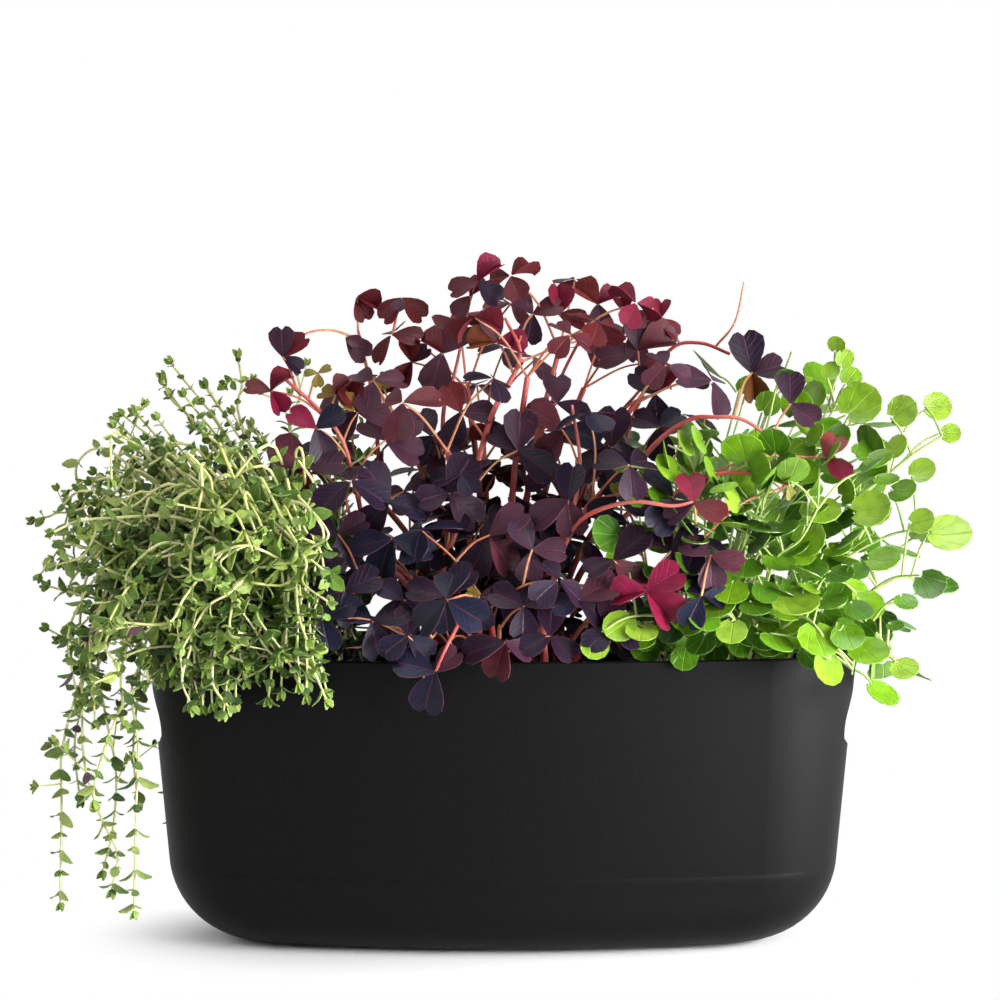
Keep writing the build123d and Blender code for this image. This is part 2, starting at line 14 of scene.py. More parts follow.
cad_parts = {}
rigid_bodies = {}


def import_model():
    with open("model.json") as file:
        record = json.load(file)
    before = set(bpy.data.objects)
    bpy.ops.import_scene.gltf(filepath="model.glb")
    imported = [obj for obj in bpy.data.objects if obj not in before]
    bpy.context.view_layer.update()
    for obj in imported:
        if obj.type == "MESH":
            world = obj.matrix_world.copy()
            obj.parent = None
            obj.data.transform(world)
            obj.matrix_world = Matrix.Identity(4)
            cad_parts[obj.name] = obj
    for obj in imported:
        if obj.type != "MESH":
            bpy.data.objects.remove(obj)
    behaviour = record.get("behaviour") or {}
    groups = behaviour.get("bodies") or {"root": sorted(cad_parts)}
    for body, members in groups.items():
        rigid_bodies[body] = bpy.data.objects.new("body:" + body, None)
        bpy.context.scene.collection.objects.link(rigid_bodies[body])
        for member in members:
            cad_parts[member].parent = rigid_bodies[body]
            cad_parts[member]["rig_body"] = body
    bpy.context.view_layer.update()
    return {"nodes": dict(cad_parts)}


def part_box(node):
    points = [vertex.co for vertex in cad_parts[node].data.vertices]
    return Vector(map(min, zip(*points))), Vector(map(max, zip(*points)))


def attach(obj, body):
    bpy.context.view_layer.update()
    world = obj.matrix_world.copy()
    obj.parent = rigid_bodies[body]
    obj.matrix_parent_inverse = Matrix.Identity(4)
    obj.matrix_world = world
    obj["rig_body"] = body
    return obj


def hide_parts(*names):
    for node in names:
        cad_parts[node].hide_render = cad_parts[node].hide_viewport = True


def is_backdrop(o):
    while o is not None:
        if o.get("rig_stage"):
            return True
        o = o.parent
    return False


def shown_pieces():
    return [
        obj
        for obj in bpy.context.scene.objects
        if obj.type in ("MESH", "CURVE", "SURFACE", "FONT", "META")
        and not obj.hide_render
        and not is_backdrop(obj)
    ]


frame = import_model()
nodes = frame["nodes"]
scene = bpy.context.scene
scene.view_settings.view_transform = "Standard"

# %% [markdown]
# The camera stands a metre and a half in front of the planter, higher than its rim.
# It tips down rather than shifting its lens, so that it also frames the planter from other sides.
# Two functions turn spots in the picture into places in space, at a chosen depth.

# %% Camera
# The picture's width and height are in pixels, and the focal length is in widths of the picture.
picture = 1000
focal = 3.075
sensor = 36
eye = Vector((-0.0014, -1.5, 0.3178))
tip_down = math.radians(3.906)

bpy.ops.object.camera_add(location=eye, rotation=(math.pi / 2 - tip_down, 0, 0))
camera = bpy.context.object
camera.data.sensor_width = sensor
camera.data.lens = sensor * focal
scene.camera = camera


def seen_at(across, down, depth):
    """The place that shows at a pixel of the picture, at a depth behind the tub's middle."""
    right = (across - picture / 2) / picture / focal
    below = (down - picture / 2) / picture / focal
    ahead = math.cos(tip_down) - below * math.sin(tip_down)
    rise = -math.sin(tip_down) - below * math.cos(tip_down)
    run = (depth - eye.y) / ahead
    return Vector((eye.x + right * run, depth, eye.z + rise * run))


def way_through(spots):
    """A row of spots as places: pixels across and down, and millimetres in front of the tub's middle."""
    return [seen_at(across, down, -depth / 1000) for across, down, depth in spots]


print("camera lens", round(camera.data.lens, 1), "mm, picture middle", seen_at(picture / 2, picture / 2, 0))

# %% [markdown]
# Every finish is a small network of nodes, and a few helpers keep the networks readable.
# First, a Value wraps one output socket, so that sums on it can be written as plain Python.


# %% Sums on sockets
class Value:
    """A number that changes over a surface. Sums written with it add Math nodes."""

    def __init__(self, wiring, socket):
        self.wiring = wiring
        self.socket = socket

    def maths(self, operation, first, second):
        """One Math node, for two numbers or Values."""
        return self.wiring.node("ShaderNodeMath", {"operation": operation}, {0: first, 1: second})

    def __add__(self, other):
        return self.maths("ADD", self, other)

    def __sub__(self, other):
        return self.maths("SUBTRACT", self, other)

    def __rsub__(self, other):
        return self.maths("SUBTRACT", other, self)

    def __mul__(self, other):
        return self.maths("MULTIPLY", self, other)

    def __abs__(self):
        return self.maths("ABSOLUTE", self, 0)

    def or_larger(self, other):
        """The larger of two."""
        return self.maths("MAXIMUM", self, other)

    __radd__ = __add__
    __rmul__ = __mul__


# %% [markdown]
# A Wiring belongs to one material or world, and makes every other node through one method.
# A Finish is the wiring of a material, and feeds the sockets of its main shader by their names.


# %% Wiring and finishes
class Wiring:
    """The nodes of one material or world."""

    def __init__(self, owner):
        owner.use_nodes = True
        self.tree = owner.node_tree

    def node(self, kind, settings, sockets, output=0):
        """Adds a node, sets it up, feeds its sockets, and gives one of its outputs as a Value."""
        made = self.tree.nodes.new(kind)
        for name, setting in settings.items():
            if name == "stops":
                ramp = made.color_ramp.elements
                while len(ramp) < len(setting):
                    ramp.new(1)
                for stop, (position, colour) in zip(ramp, setting):
                    stop.position = position
                    stop.color = (*colour, 1)
            else:
                setattr(made, name, setting)
        for name, value in sockets.items():
            self.feed(made.inputs[name], value)
        return Value(self, made.outputs[output])

    def feed(self, socket, value):
        """Links a Value to a socket, or sets the socket to a number or a colour."""
        if isinstance(value, Value):
            self.tree.links.new(value.socket, socket)
        elif isinstance(value, (tuple, list)) and socket.type == "RGBA":
            socket.default_value = (*value[:3], 1)
        else:
            socket.default_value = value

    def mixed(self, share, first, second):
        """One colour going over into another."""
        return self.node("ShaderNodeMix", {"data_type": "RGBA"}, {0: share, 6: first, 7: second}, output=2)

    def eased(self, value, low, high):
        """0 at low, 1 at high, with soft ends."""
        limits = {0: value, 1: low, 2: high, 3: 0.0, 4: 1.0}
        return self.node("ShaderNodeMapRange", {"interpolation_type": "SMOOTHSTEP"}, limits)

    def length_of(self, vector):
        """How long a vector is."""
        return self.node("ShaderNodeVectorMath", {"operation": "LENGTH"}, {0: vector}, output=1)

    def place(self):
        """Where a point of the piece is, in Object coordinates."""
        return self.node("ShaderNodeTexCoord", {}, {}, output=3)

    def speckle(self, size, detail=2.0):
        """Noise with grains of a size in metres."""
        sockets = {"Vector": self.place(), "Scale": 1 / size, "Detail": detail}
        return self.node("ShaderNodeTexNoise", {}, sockets)


class Finish(Wiring):
    """One material with its main shader."""

    def __init__(self, name):
        self.material = bpy.data.materials.new(name)
        super().__init__(self.material)
        self.shader = self.tree.nodes["Principled BSDF"]

    def set(self, **values):
        """Feeds sockets of the main shader, such as base_color for Base Color."""
        for name, value in values.items():
            self.feed(self.shader.inputs[name.replace("_", " ").title().replace("Ior", "IOR")], value)

    def bump(self, height, depth):
        """Raises the surface by up to depth, in metres, where height is 1."""
        sockets = {"Height": height, "Distance": depth, "Strength": 1.0}
        self.set(normal=self.node("ShaderNodeBump", {}, sockets))


print("helpers ready")

# %% [markdown]
# The studio light is soft and plain, from large area lights to the right, to the left and overhead.
# A low one with a narrower beam lights up the tub's right end, where matt black would show no shape.

# %% Lights
world = bpy.data.worlds.new("studio")
scene.world = world
sky = Wiring(world)
room = sky.node("ShaderNodeBackground", {}, {"Color": (0.93, 0.96, 1.0), "Strength": 0.15})
sky.feed(sky.tree.nodes["World Output"].inputs["Surface"], room)


def soft_light(name, place, aim, width, height, power):
    """An area light that points at a place."""
    bpy.ops.object.light_add(type="AREA", location=place)
    lamp = bpy.context.object
    lamp.name = name
    lamp.rotation_euler = (Vector(aim) - Vector(place)).to_track_quat("-Z", "Y").to_euler()
    lamp.data.shape = "RECTANGLE"
    lamp.data.size = width
    lamp.data.size_y = height
    lamp.data.energy = power
    return lamp


soft_light("key_light", (1.2, -0.9, 0.8), aim=(0, 0, 0.18), width=0.8, height=1.0, power=16)
soft_light("left_light", (-1.3, -0.5, 0.7), aim=(0, 0, 0.18), width=0.5, height=0.9, power=7)
soft_light("top_light", (0.0, 0.0, 1.45), aim=(0, 0, 0.2), width=1.0, height=0.8, power=12)
edge_light = soft_light(
    "edge_light", (0.55, -0.22, 0.16), aim=(0.14, -0.02, 0.12), width=0.7, height=0.2, power=3.2
)
edge_light.data.spread = math.radians(80)

# %% [markdown]
# Modelling by hand goes in turns: some corners or edges are selected, and an operator acts on them.
# These helpers select in code, by place, and bring the piece out of edit mode again.


# %% Modelling helpers
def start_fresh():
    """Deselects every object, so that an operator acts only on what is added or selected next."""
    bpy.ops.object.select_all(action="DESELECT")


def choose(piece, test, kind="VERT"):
    """Goes into edit mode with just those corners or edges selected whose places pass a test."""
    bpy.ops.object.mode_set(mode="EDIT")
    bpy.ops.mesh.select_mode(type=kind)
    bpy.ops.mesh.select_all(action="DESELECT")
    bpy.ops.object.mode_set(mode="OBJECT")
    corners = piece.data.vertices
    if kind == "EDGE":
        for edge in piece.data.edges:
            edge.select = all(test(corners[end].co) for end in edge.vertices)
    else:
        for corner in corners:
            corner.select = test(corner.co)
    bpy.ops.object.mode_set(mode="EDIT")


def move(piece, test, step):
    """Moves the corners that pass a test."""
    choose(piece, test)
    bpy.ops.transform.translate(value=step)
    bpy.ops.object.mode_set(mode="OBJECT")


def resize(piece, test, factors, middle):
    """Draws the corners that pass a test out from a middle, or in to it."""
    choose(piece, test)
    bpy.ops.transform.resize(value=factors, center_override=middle)
    bpy.ops.object.mode_set(mode="OBJECT")


# %% [markdown]
# The studio is a white cove: a floor that runs up into a wall, with a large round bend between them.
# A cove lit until it is white would flood the dark tub with light. So it is white of its own accord,
# but only to the camera and in reflections, and only away from the planter, where no shadow has to show.

# %% Cove
floor_size = 60
wall_height = 20
bend_radius = 8
near = 0.01
shadow_reach = 0.072
white_reach = 0.128

start_fresh()
bpy.ops.mesh.primitive_plane_add(size=floor_size, location=(0, 0, 0))
cove = bpy.context.object
cove.name = "studio_cove"
bpy.ops.object.transform_apply(location=True)
wall_y = floor_size / 2 - near
choose(cove, lambda co: co.y > wall_y, "EDGE")
bpy.ops.mesh.extrude_region_move(TRANSFORM_OT_translate={"value": (0, 0, wall_height)})
bpy.ops.object.mode_set(mode="OBJECT")
choose(cove, lambda co: co.y > wall_y and co.z < near, "EDGE")
bpy.ops.mesh.bevel(offset=bend_radius, segments=12)
bpy.ops.object.mode_set(mode="OBJECT")
bpy.ops.object.shade_smooth()
cove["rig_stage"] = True

cove_finish = Finish("white_cove")
cove_finish.set(base_color=(0.82, 0.82, 0.82), roughness=0.9, specular_ior_level=0.2)
camera_ray, glossy_ray, glass_ray = [
    cove_finish.node("ShaderNodeLightPath", {}, {}, output=f"Is {kind} Ray")
    for kind in ("Camera", "Glossy", "Transmission")
]
looked_at = camera_ray.or_larger(glossy_ray).or_larger(glass_ray)
squeezed = cove_finish.node(
    "ShaderNodeVectorMath", {"operation": "MULTIPLY"}, {0: cove_finish.place(), 1: (0.6, 1.0, 1.0)}
)
from_middle = cove_finish.length_of(squeezed)
white = cove_finish.node("ShaderNodeEmission", {}, {"Color": (1.0, 1.0, 1.0), "Strength": 1.0})
share = looked_at * cove_finish.eased(from_middle, shadow_reach, white_reach)
surface = cove_finish.node(
    "ShaderNodeMixShader", {}, {0: share, 1: Value(cove_finish, cove_finish.shader.outputs[0]), 2: white}
)
cove_finish.feed(cove_finish.tree.nodes["Material Output"].inputs["Surface"], surface)
cove.data.materials.append(cove_finish.material)
print("cove faces:", len(cove.data.polygons))

# %% [markdown]
# The tub is moulded in black plastic with a fine sanded texture, so it shows no sharp reflections.
# A single dark colour would look like paint. The tub's grain is a bump with grains of under a millimetre,
# and the gloss varies a little, as it does where a mould is worn.
# The tray, the pots and the rubber feet are moulded too, with a coarser grain.


# %% Moulded plastics and rubber
def moulded(name, colour, roughness, shine, grain, depth):
    """A moulded finish: a dark colour, a fine grain and a gloss that drifts."""
    finish = Finish(name)
    grains = finish.speckle(grain)
    drift = finish.speckle(0.03)
    lighter = tuple(min(1, c * 1.35 + 0.002) for c in colour)
    finish.set(
        base_color=finish.mixed(finish.eased(grains, 0.35, 0.7), colour, lighter),
        roughness=roughness + (drift - 0.5) * 0.08 + (grains - 0.5) * 0.1,
        specular_ior_level=shine,
    )
    finish.bump(grains, depth)
    return finish.material


def dress(node, material):
    """Gives a CAD node its finish."""
    nodes[node].data.materials.clear()
    nodes[node].data.materials.append(material)


herbs = ("thyme", "oxalis", "cress")
tub_plastic = moulded(
    "tub_black", (0.0015, 0.0015, 0.0016), roughness=0.53, shine=0.11, grain=0.0007, depth=0.00005
)
foot_rubber = moulded(
    "foot_rubber", (0.016, 0.016, 0.016), roughness=0.75, shine=0.3, grain=0.0015, depth=0.00005
)
tray_plastic = moulded(
    "tray_black", (0.02, 0.02, 0.021), roughness=0.42, shine=0.4, grain=0.0012, depth=0.00004
)
pot_plastic = moulded(
    "pot_black", (0.018, 0.017, 0.016), roughness=0.36, shine=0.4, grain=0.002, depth=0.00003
)
dress("outer_shell", tub_plastic)
dress("rubber_feet", foot_rubber)
dress("pot_tray", tray_plastic)
for herb in herbs:
    dress(f"{herb}_pot", pot_plastic)
print("moulded nodes dressed")

# %% [markdown]
# The mats and wicks are grey needle felt: short fibres pressed together, with no weave.
# Fibres show as fine twisted noise over broader tufts, and as a soft fuzz on the surface.

# %% Felt
felt = Finish("grey_felt")
fibres = felt.node(
    "ShaderNodeTexNoise", {}, {"Vector": felt.place(), "Scale": 900.0, "Detail": 6.0, "Distortion": 2.5}
)
tufts = felt.speckle(0.004)
felt.set(
    base_color=felt.mixed(felt.eased(fibres, 0.35, 0.65), (0.2, 0.205, 0.21), (0.42, 0.43, 0.44)),
    roughness=0.95,
    sheen_weight=0.3,
)
felt.bump(fibres + tufts * 0.5, 0.0006)
for herb in herbs:
    dress(f"{herb}_mat", felt.material)
    dress(f"{herb}_wick", felt.material)
print("felt on", [f"{herb}_mat" for herb in herbs])

# %% [markdown]
# Potting soil is dark peat with crumbs and paler bits of bark and root in it.
# It could be a bumpy material on a flat disc, but from above a real crumbled surface catches the light.
# So a tapered plug is drawn up from a circle, its top is inset in rings, divided and roughened,
# and copies of one crumb lie on it.


# %% Copying shapes
def gather(pieces, name):
    """Joins pieces into one, under a new name."""
    start_fresh()
    for piece in pieces:
        piece.select_set(True)
    bpy.context.view_layer.objects.active = pieces[0]
    meshes = [piece.data for piece in pieces[1:]]
    if meshes:
        bpy.ops.object.join()
        bpy.data.batch_remove(meshes)
    pieces[0].name = name
    return pieces[0]


def copied(model, matrix, tone):
    """A copy of a modelled shape with a mesh of its own, set in place and given its own tone of colour."""
    mesh = model.data.copy()
    mesh.transform(matrix)
    tones = mesh.attributes.new("tone", "FLOAT", "POINT")
    tones.data.foreach_set("value", [tone] * len(mesh.vertices))
    copy = bpy.data.objects.new(model.name, mesh)
    scene.collection.objects.link(copy)
    return copy


def drop(model):
    """Takes a shape away once all its copies are made."""
    bpy.data.objects.remove(model)


# %% Soil
# The plug's radius at its foot, the room for its crowned top, and the rings of the top with the rise of each
foot_radius = 0.0348
crown = 0.003
rings = 7
ring_rise = 0.0005
crumb_count = 160
smallest_crumb, largest_crumb = 0.0008, 0.0026
chance = random.Random(3)

soil_finish = Finish("potting_soil")
crumbs = soil_finish.speckle(0.002, 6.0)
bits = soil_finish.speckle(0.006, 3.0)
peat = soil_finish.mixed(soil_finish.eased(crumbs, 0.3, 0.7), (0.008, 0.005, 0.003), (0.05, 0.031, 0.018))
soil_finish.set(
    base_color=soil_finish.mixed(soil_finish.eased(bits, 0.66, 0.72), peat, (0.17, 0.11, 0.06)),
    roughness=0.95,
)
soil_finish.bump(crumbs, 0.0015)

start_fresh()
bpy.ops.mesh.primitive_ico_sphere_add(subdivisions=1, radius=1)
crumb = bpy.context.object
crumb.name = "soil_crumb"
crumb.data.materials.append(soil_finish.material)
bpy.ops.object.mode_set(mode="EDIT")
bpy.ops.transform.vertex_random(offset=0.35, uniform=0.2, seed=4)
bpy.ops.object.mode_set(mode="OBJECT")
for herb in herbs:
    low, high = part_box(f"{herb}_soil")
    middle = (low + high) / 2
    wide = (high.x - low.x) / 2
    spread = wide / foot_radius
    start_fresh()
    bpy.ops.mesh.primitive_circle_add(
        vertices=48, radius=foot_radius, fill_type="NGON", location=(middle.x, 0, low.z)
    )
    plug = bpy.context.object
    bpy.ops.object.transform_apply(location=True)
    bpy.ops.object.mode_set(mode="EDIT")
    bpy.ops.mesh.select_all(action="SELECT")
    bpy.ops.mesh.extrude_region_move(TRANSFORM_OT_translate={"value": (0, 0, high.z - low.z - crown)})
    bpy.ops.transform.resize(value=(spread, spread, 1), center_override=(middle.x, 0, high.z - crown))
    for _ in range(rings):
        bpy.ops.mesh.inset(thickness=wide / (rings + 1), depth=ring_rise)
    bpy.ops.mesh.poke()
    bpy.ops.object.mode_set(mode="OBJECT")
    choose(plug, lambda co: co.z > high.z - 0.002 and (co.xy - middle.xy).length < wide * 0.93)
    bpy.ops.mesh.subdivide(number_cuts=2)
    bpy.ops.transform.vertex_random(offset=0.0016, uniform=0.3, normal=0.7, seed=11)
    bpy.ops.mesh.select_all(action="SELECT")
    bpy.ops.mesh.normals_make_consistent(inside=False)
    bpy.ops.object.mode_set(mode="OBJECT")
    plug.data.materials.append(soil_finish.material)
    pieces = [plug]
    for _ in range(crumb_count):
        turn = chance.uniform(0, math.tau)
        out = wide * 0.86 * math.sqrt(chance.random())
        spot = Vector((middle.x + out * math.cos(turn), out * math.sin(turn), high.z - 0.0005))
        size = chance.uniform(smallest_crumb, largest_crumb)
        turned = Matrix.Rotation(chance.uniform(0, math.tau), 4, Vector((1, 1, chance.random())).normalized())
        pieces.append(copied(crumb, Matrix.Translation(spot) @ turned @ Matrix.Scale(size, 4), 0))
    soil = gather(pieces, f"{herb}_crumbly_soil")
    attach(soil, f"{herb}_plant")
    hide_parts(f"{herb}_soil")
    print(soil.name, len(soil.data.polygons), "faces")
drop(crumb)

# %% [markdown]
# A leaf shape is modelled once and then copied. It starts as a flat grid, or a disc for the cress.
# Its rows are drawn in to the leaf's outline, it is folded or cupped, and Solidify gives it an underside.
# A flat cut-out with a picture of a leaf would be quicker, but has no underside and no fold to catch light.


# %% Leaf shapes
def leaf_grid(name, columns, rows):
    """A grid one unit long, with its stalk end at the origin and its tip along +Y."""
    start_fresh()
    bpy.ops.mesh.primitive_grid_add(x_subdivisions=columns, y_subdivisions=rows, size=1, location=(0, 0, 0))
    leaf = bpy.context.object
    leaf.name = name
    move(leaf, lambda co: True, (0, 0.5, 0))
    return leaf


def shape_rows(leaf, widths, lifts):
    """Draws each row of a leaf grid in to its width, and lifts it to bend the leaf along its length."""
    for row, (width, lift) in enumerate(zip(widths, lifts)):
        along = row / (len(widths) - 1)

        def in_row(co):
            return abs(co.y - along) < 0.01

        resize(leaf, in_row, (max(width, 0.02), 1, 1), (0, along, 0))
        move(leaf, in_row, (0, 0, lift))


def fold(leaf, rise):
    """Lifts the two halves of a leaf from its midrib, the more the further out they are."""
    for side in sorted({round(abs(corner.co.x), 4) for corner in leaf.data.vertices}):
        if side > 0:
            move(leaf, lambda co: abs(abs(co.x) - side) < 0.0002, (0, 0, side * rise))


def thicken(leaf, thickness, upper, under):
    """Gives a leaf its underside, with a finish of its own, and a soft shading with crisp edges."""
    leaf.data.materials.clear()
    leaf.data.materials.append(upper)
    leaf.data.materials.append(under)
    bpy.context.view_layer.objects.active = leaf
    bpy.ops.object.modifier_add(type="SOLIDIFY")
    shell = leaf.modifiers[-1]
    shell.thickness = thickness
    shell.offset = -1
    shell.material_offset = 1
    shell.material_offset_rim = 0
    bpy.ops.object.modifier_apply(modifier=shell.name)
    start_fresh()
    leaf.select_set(True)
    bpy.ops.object.shade_smooth_by_angle(angle=math.radians(50))
    print(leaf.name, len(leaf.data.polygons), "faces")


# %% [markdown]
# A leaf's colour drifts from leaf to leaf, so each copy carries a tone, which a ramp turns into a colour.
# On the leaf itself the midrib, the side veins and the rim are a little paler than the blade.
# The veins follow the leaf's own UV map, which the grid or disc brought with it.


# %% Leaf finishes
def leaf_finish(name, stops, vein_colour, vein_share, rim_share, roughness, shine, radial=False):
    """One side of a leaf: a ramp of colours, paler veins and rim, and a gloss that varies finely."""
    finish = Finish(name)
    tone = finish.node("ShaderNodeAttribute", {"attribute_name": "tone"}, {}, output=2)
    uv = finish.node("ShaderNodeTexCoord", {}, {}, output=2)
    across = finish.node("ShaderNodeSeparateXYZ", {}, {0: uv}, output=0) - 0.5
    along = finish.node("ShaderNodeSeparateXYZ", {}, {0: uv}, output=1)
    aside = abs(across)
    if radial:
        wave = across.maths("ARCTAN2", across, along - 0.08) * 2.2
        from_middle = finish.node("ShaderNodeCombineXYZ", {}, {0: across, 1: along - 0.5, 2: 0.0})
        rim = finish.eased(finish.length_of(from_middle), 0.44, 0.5)
        rib = 1 - finish.eased(aside, 0.004, 0.02)
    else:
        wave = along * 5.5 - aside * 4.5
        rim = finish.eased(aside, 0.44, 0.5)
        rib = 1 - finish.eased(aside, 0.01, 0.05)
    ripple = wave.maths("PINGPONG", wave, 0.5)
    veins = 1 - finish.eased(ripple, 0.015, 0.09)
    blotch = finish.speckle(0.006, 4.0)
    skin = finish.speckle(0.0008, 3.0)
    blade = finish.node("ShaderNodeValToRGB", {"stops": stops}, {0: tone})
    shaded = finish.mixed(finish.eased(blotch, 0.3, 0.75) * 0.35, blade, (0.0, 0.0, 0.0))
    veined = finish.mixed(rib.or_larger(veins * 0.45) * vein_share, shaded, vein_colour)
    finish.set(
        base_color=finish.mixed(rim * rim_share, veined, vein_colour),
        roughness=roughness + (skin - 0.5) * 0.04,
        specular_ior_level=shine,
    )
    finish.bump(veins * -0.6 - rib, 0.0002)
    return finish.material


# %% [markdown]
# A thyme leaf is a small pointed oval, dull green above and paler below, with a fold along its midrib.
# There are thousands, so it has to be plain: a grid of two by three faces, drawn in at both ends.

# %% Thyme leaf
thyme_stops = [
    (0.0, (0.008, 0.034, 0.006)),
    (0.35, (0.042, 0.12, 0.013)),
    (0.65, (0.15, 0.3, 0.03)),
    (0.92, (0.4, 0.52, 0.1)),
    (1.0, (0.22, 0.09, 0.16)),
]
pale_thyme = [(stop, tuple(c * 0.8 + 0.04 for c in colour)) for stop, colour in thyme_stops]
thyme_upper = leaf_finish(
    "thyme_leaf_upper", thyme_stops, vein_colour=(0.36, 0.48, 0.2),
    vein_share=0.35, rim_share=0.3, roughness=0.45, shine=0.35,
)
thyme_under = leaf_finish(
    "thyme_leaf_under", pale_thyme, vein_colour=(0.4, 0.46, 0.3),
    vein_share=0.4, rim_share=0.0, roughness=0.65, shine=0.25,
)
thyme_leaf = leaf_grid("thyme_leaf", columns=2, rows=3)
shape_rows(thyme_leaf, widths=(0.16, 0.6, 0.57, 0.15), lifts=(0.0, 0.05, 0.04, -0.06))
fold(thyme_leaf, 0.22)
thicken(thyme_leaf, 0.035, thyme_upper, thyme_under)

# %% [markdown]
# An oxalis leaflet is three-cornered, with its point at the stalk and a notch in its far edge.
# A young one is folded like a pair of wings and opens flat later, so it is modelled twice.

# %% Oxalis leaflets
oxalis_stops = [
    (0.0, (0.006, 0.009, 0.028)),
    (0.2, (0.018, 0.006, 0.02)),
    (0.4, (0.068, 0.022, 0.042)),
    (0.6, (0.115, 0.01, 0.011)),
    (0.8, (0.21, 0.006, 0.04)),
    (0.9, (0.24, 0.075, 0.02)),
    (1.0, (0.26, 0.25, 0.04)),
]
ruddy = (0.11, 0.011, 0.016)
ruddy_oxalis = [
    (stop, tuple((c + 1.4 * r) / 2 for c, r in zip(colour, ruddy))) for stop, colour in oxalis_stops
]
oxalis_upper = leaf_finish(
    "oxalis_leaf_upper", oxalis_stops, vein_colour=(0.2, 0.05, 0.08),
    vein_share=0.2, rim_share=0.2, roughness=0.45, shine=0.2,
)
oxalis_under = leaf_finish(
    "oxalis_leaf_under", ruddy_oxalis, vein_colour=(0.3, 0.05, 0.07),
    vein_share=0.2, rim_share=0.15, roughness=0.5, shine=0.2,
)


def oxalis_leaflet(name, rise, droop):
    """A leaflet, broadest near its far end, with a notch there and its two halves lifted to a V."""
    widths = (0.06, 0.4, 0.68, 0.84, 0.86, 0.52)
    rows = len(widths) - 1
    leaflet = leaf_grid(name, columns=4, rows=rows)
    shape_rows(leaflet, widths, [-droop * (row / rows) ** 2 for row in range(rows + 1)])
    move(leaflet, lambda co: co.y > 0.99 and abs(co.x) < 0.01, (0, -0.12, 0))
    move(leaflet, lambda co: co.y > 0.99 and abs(co.x) > 0.2, (0, -0.03, 0))
    fold(leaflet, rise)
    thicken(leaflet, 0.018, oxalis_upper, oxalis_under)
    return leaflet


open_leaflet = oxalis_leaflet("oxalis_open_leaflet", rise=0.22, droop=0.12)
folded_leaflet = oxalis_leaflet("oxalis_folded_leaflet", rise=1.1, droop=0.25)

# %% [markdown]
# A cress leaf is nearly round, faintly scalloped and a little cupped, with a notch where its stalk joins.
# A disc with one corner in the middle is enough: the middle goes down, and every other rim corner goes in.

# %% Cress leaf
cress_stops = [
    (0.0, (0.016, 0.07, 0.004)),
    (0.3, (0.085, 0.235, 0.005)),
    (0.6, (0.2, 0.39, 0.01)),
    (1.0, (0.31, 0.5, 0.04)),
]
pale_cress = [(stop, (r * 0.8 + 0.05, g * 0.8 + 0.06, b * 0.8 + 0.02)) for stop, (r, g, b) in cress_stops]
cress_upper = leaf_finish(
    "cress_leaf_upper", cress_stops, vein_colour=(0.34, 0.58, 0.12),
    vein_share=0.3, rim_share=0.15, roughness=0.3, shine=0.5, radial=True,
)
cress_under = leaf_finish(
    "cress_leaf_under", pale_cress, vein_colour=(0.4, 0.6, 0.25),
    vein_share=0.4, rim_share=0.0, roughness=0.5, shine=0.3, radial=True,
)

scallops = 11
leaf_middle = Vector((0, 0.5, 0))
start_fresh()
bpy.ops.mesh.primitive_circle_add(vertices=2 * scallops, radius=0.5, fill_type="NGON", location=(0, 0, 0))
cress_leaf = bpy.context.object
cress_leaf.name = "cress_leaf"
bpy.ops.object.mode_set(mode="EDIT")
bpy.ops.mesh.select_all(action="SELECT")
bpy.ops.transform.translate(value=leaf_middle)
bpy.ops.mesh.poke()
bpy.ops.object.mode_set(mode="OBJECT")
move(cress_leaf, lambda co: (co - leaf_middle).length < 0.4, (0, -0.12, -0.09))
for scallop in range(scallops):
    turn = math.tau * (scallop + 0.5) / scallops + math.pi / 2
    dip = leaf_middle + Vector((math.cos(turn), math.sin(turn), 0)) * 0.5
    resize(cress_leaf, lambda co: (co - dip).length < 0.05, (0.965, 0.965, 1), leaf_middle)
move(cress_leaf, lambda co: co.y < 0.1 and abs(co.x) < 0.04, (0, 0.15, -0.03))
thicken(cress_leaf, 0.022, cress_upper, cress_under)

# %% [markdown]
# Stems are thin tapering tubes with a curve to them. A curve object gives exactly that: one spline for each
# stem, a radius at each of its points, and a round bevel. All the stems of a herb are converted to one mesh.
# A chain of cylinders would show its corners.


# %% Stems
def flowing(points, steps=6):
    """More points on a smooth line through the given ones."""
    ends = [2 * points[0] - points[1], *points, 2 * points[-1] - points[-2]]
    line = []
    for before, start, end, after in zip(ends, ends[1:], ends[2:], ends[3:]):
        for step in range(steps):
            t = step / steps
            line.append(
                start
                + (end - before) * (t / 2)
                + (2 * before - 5 * start + 4 * end - after) * (t * t / 2)
                + (3 * start - before - 3 * end + after) * (t**3 / 2)
            )
    return [*line, points[-1]]


def stem_piece(name, stems, material):
    """Tubes along the lines of stems, each with its thickness in metres at the root and at the tip."""
    start_fresh()
    curve = bpy.data.curves.new(name, "CURVE")
    curve.dimensions = "3D"
    curve.bevel_depth = 1
    curve.bevel_resolution = 1
    curve.use_fill_caps = True
    for line, thick, thin in stems:
        spline = curve.splines.new("POLY")
        spline.points.add(len(line) - 1)
        for step, (spot, point) in enumerate(zip(line, spline.points)):
            point.co = (*spot, 1)
            point.radius = (thick + (thin - thick) * step / (len(line) - 1)) / 2
    piece = bpy.data.objects.new(name, curve)
    scene.collection.objects.link(piece)
    piece.select_set(True)
    bpy.context.view_layer.objects.active = piece
    bpy.ops.object.convert(target="MESH")
    bpy.ops.object.shade_smooth()
    piece.data.materials.clear()
    piece.data.materials.append(material)
    return piece


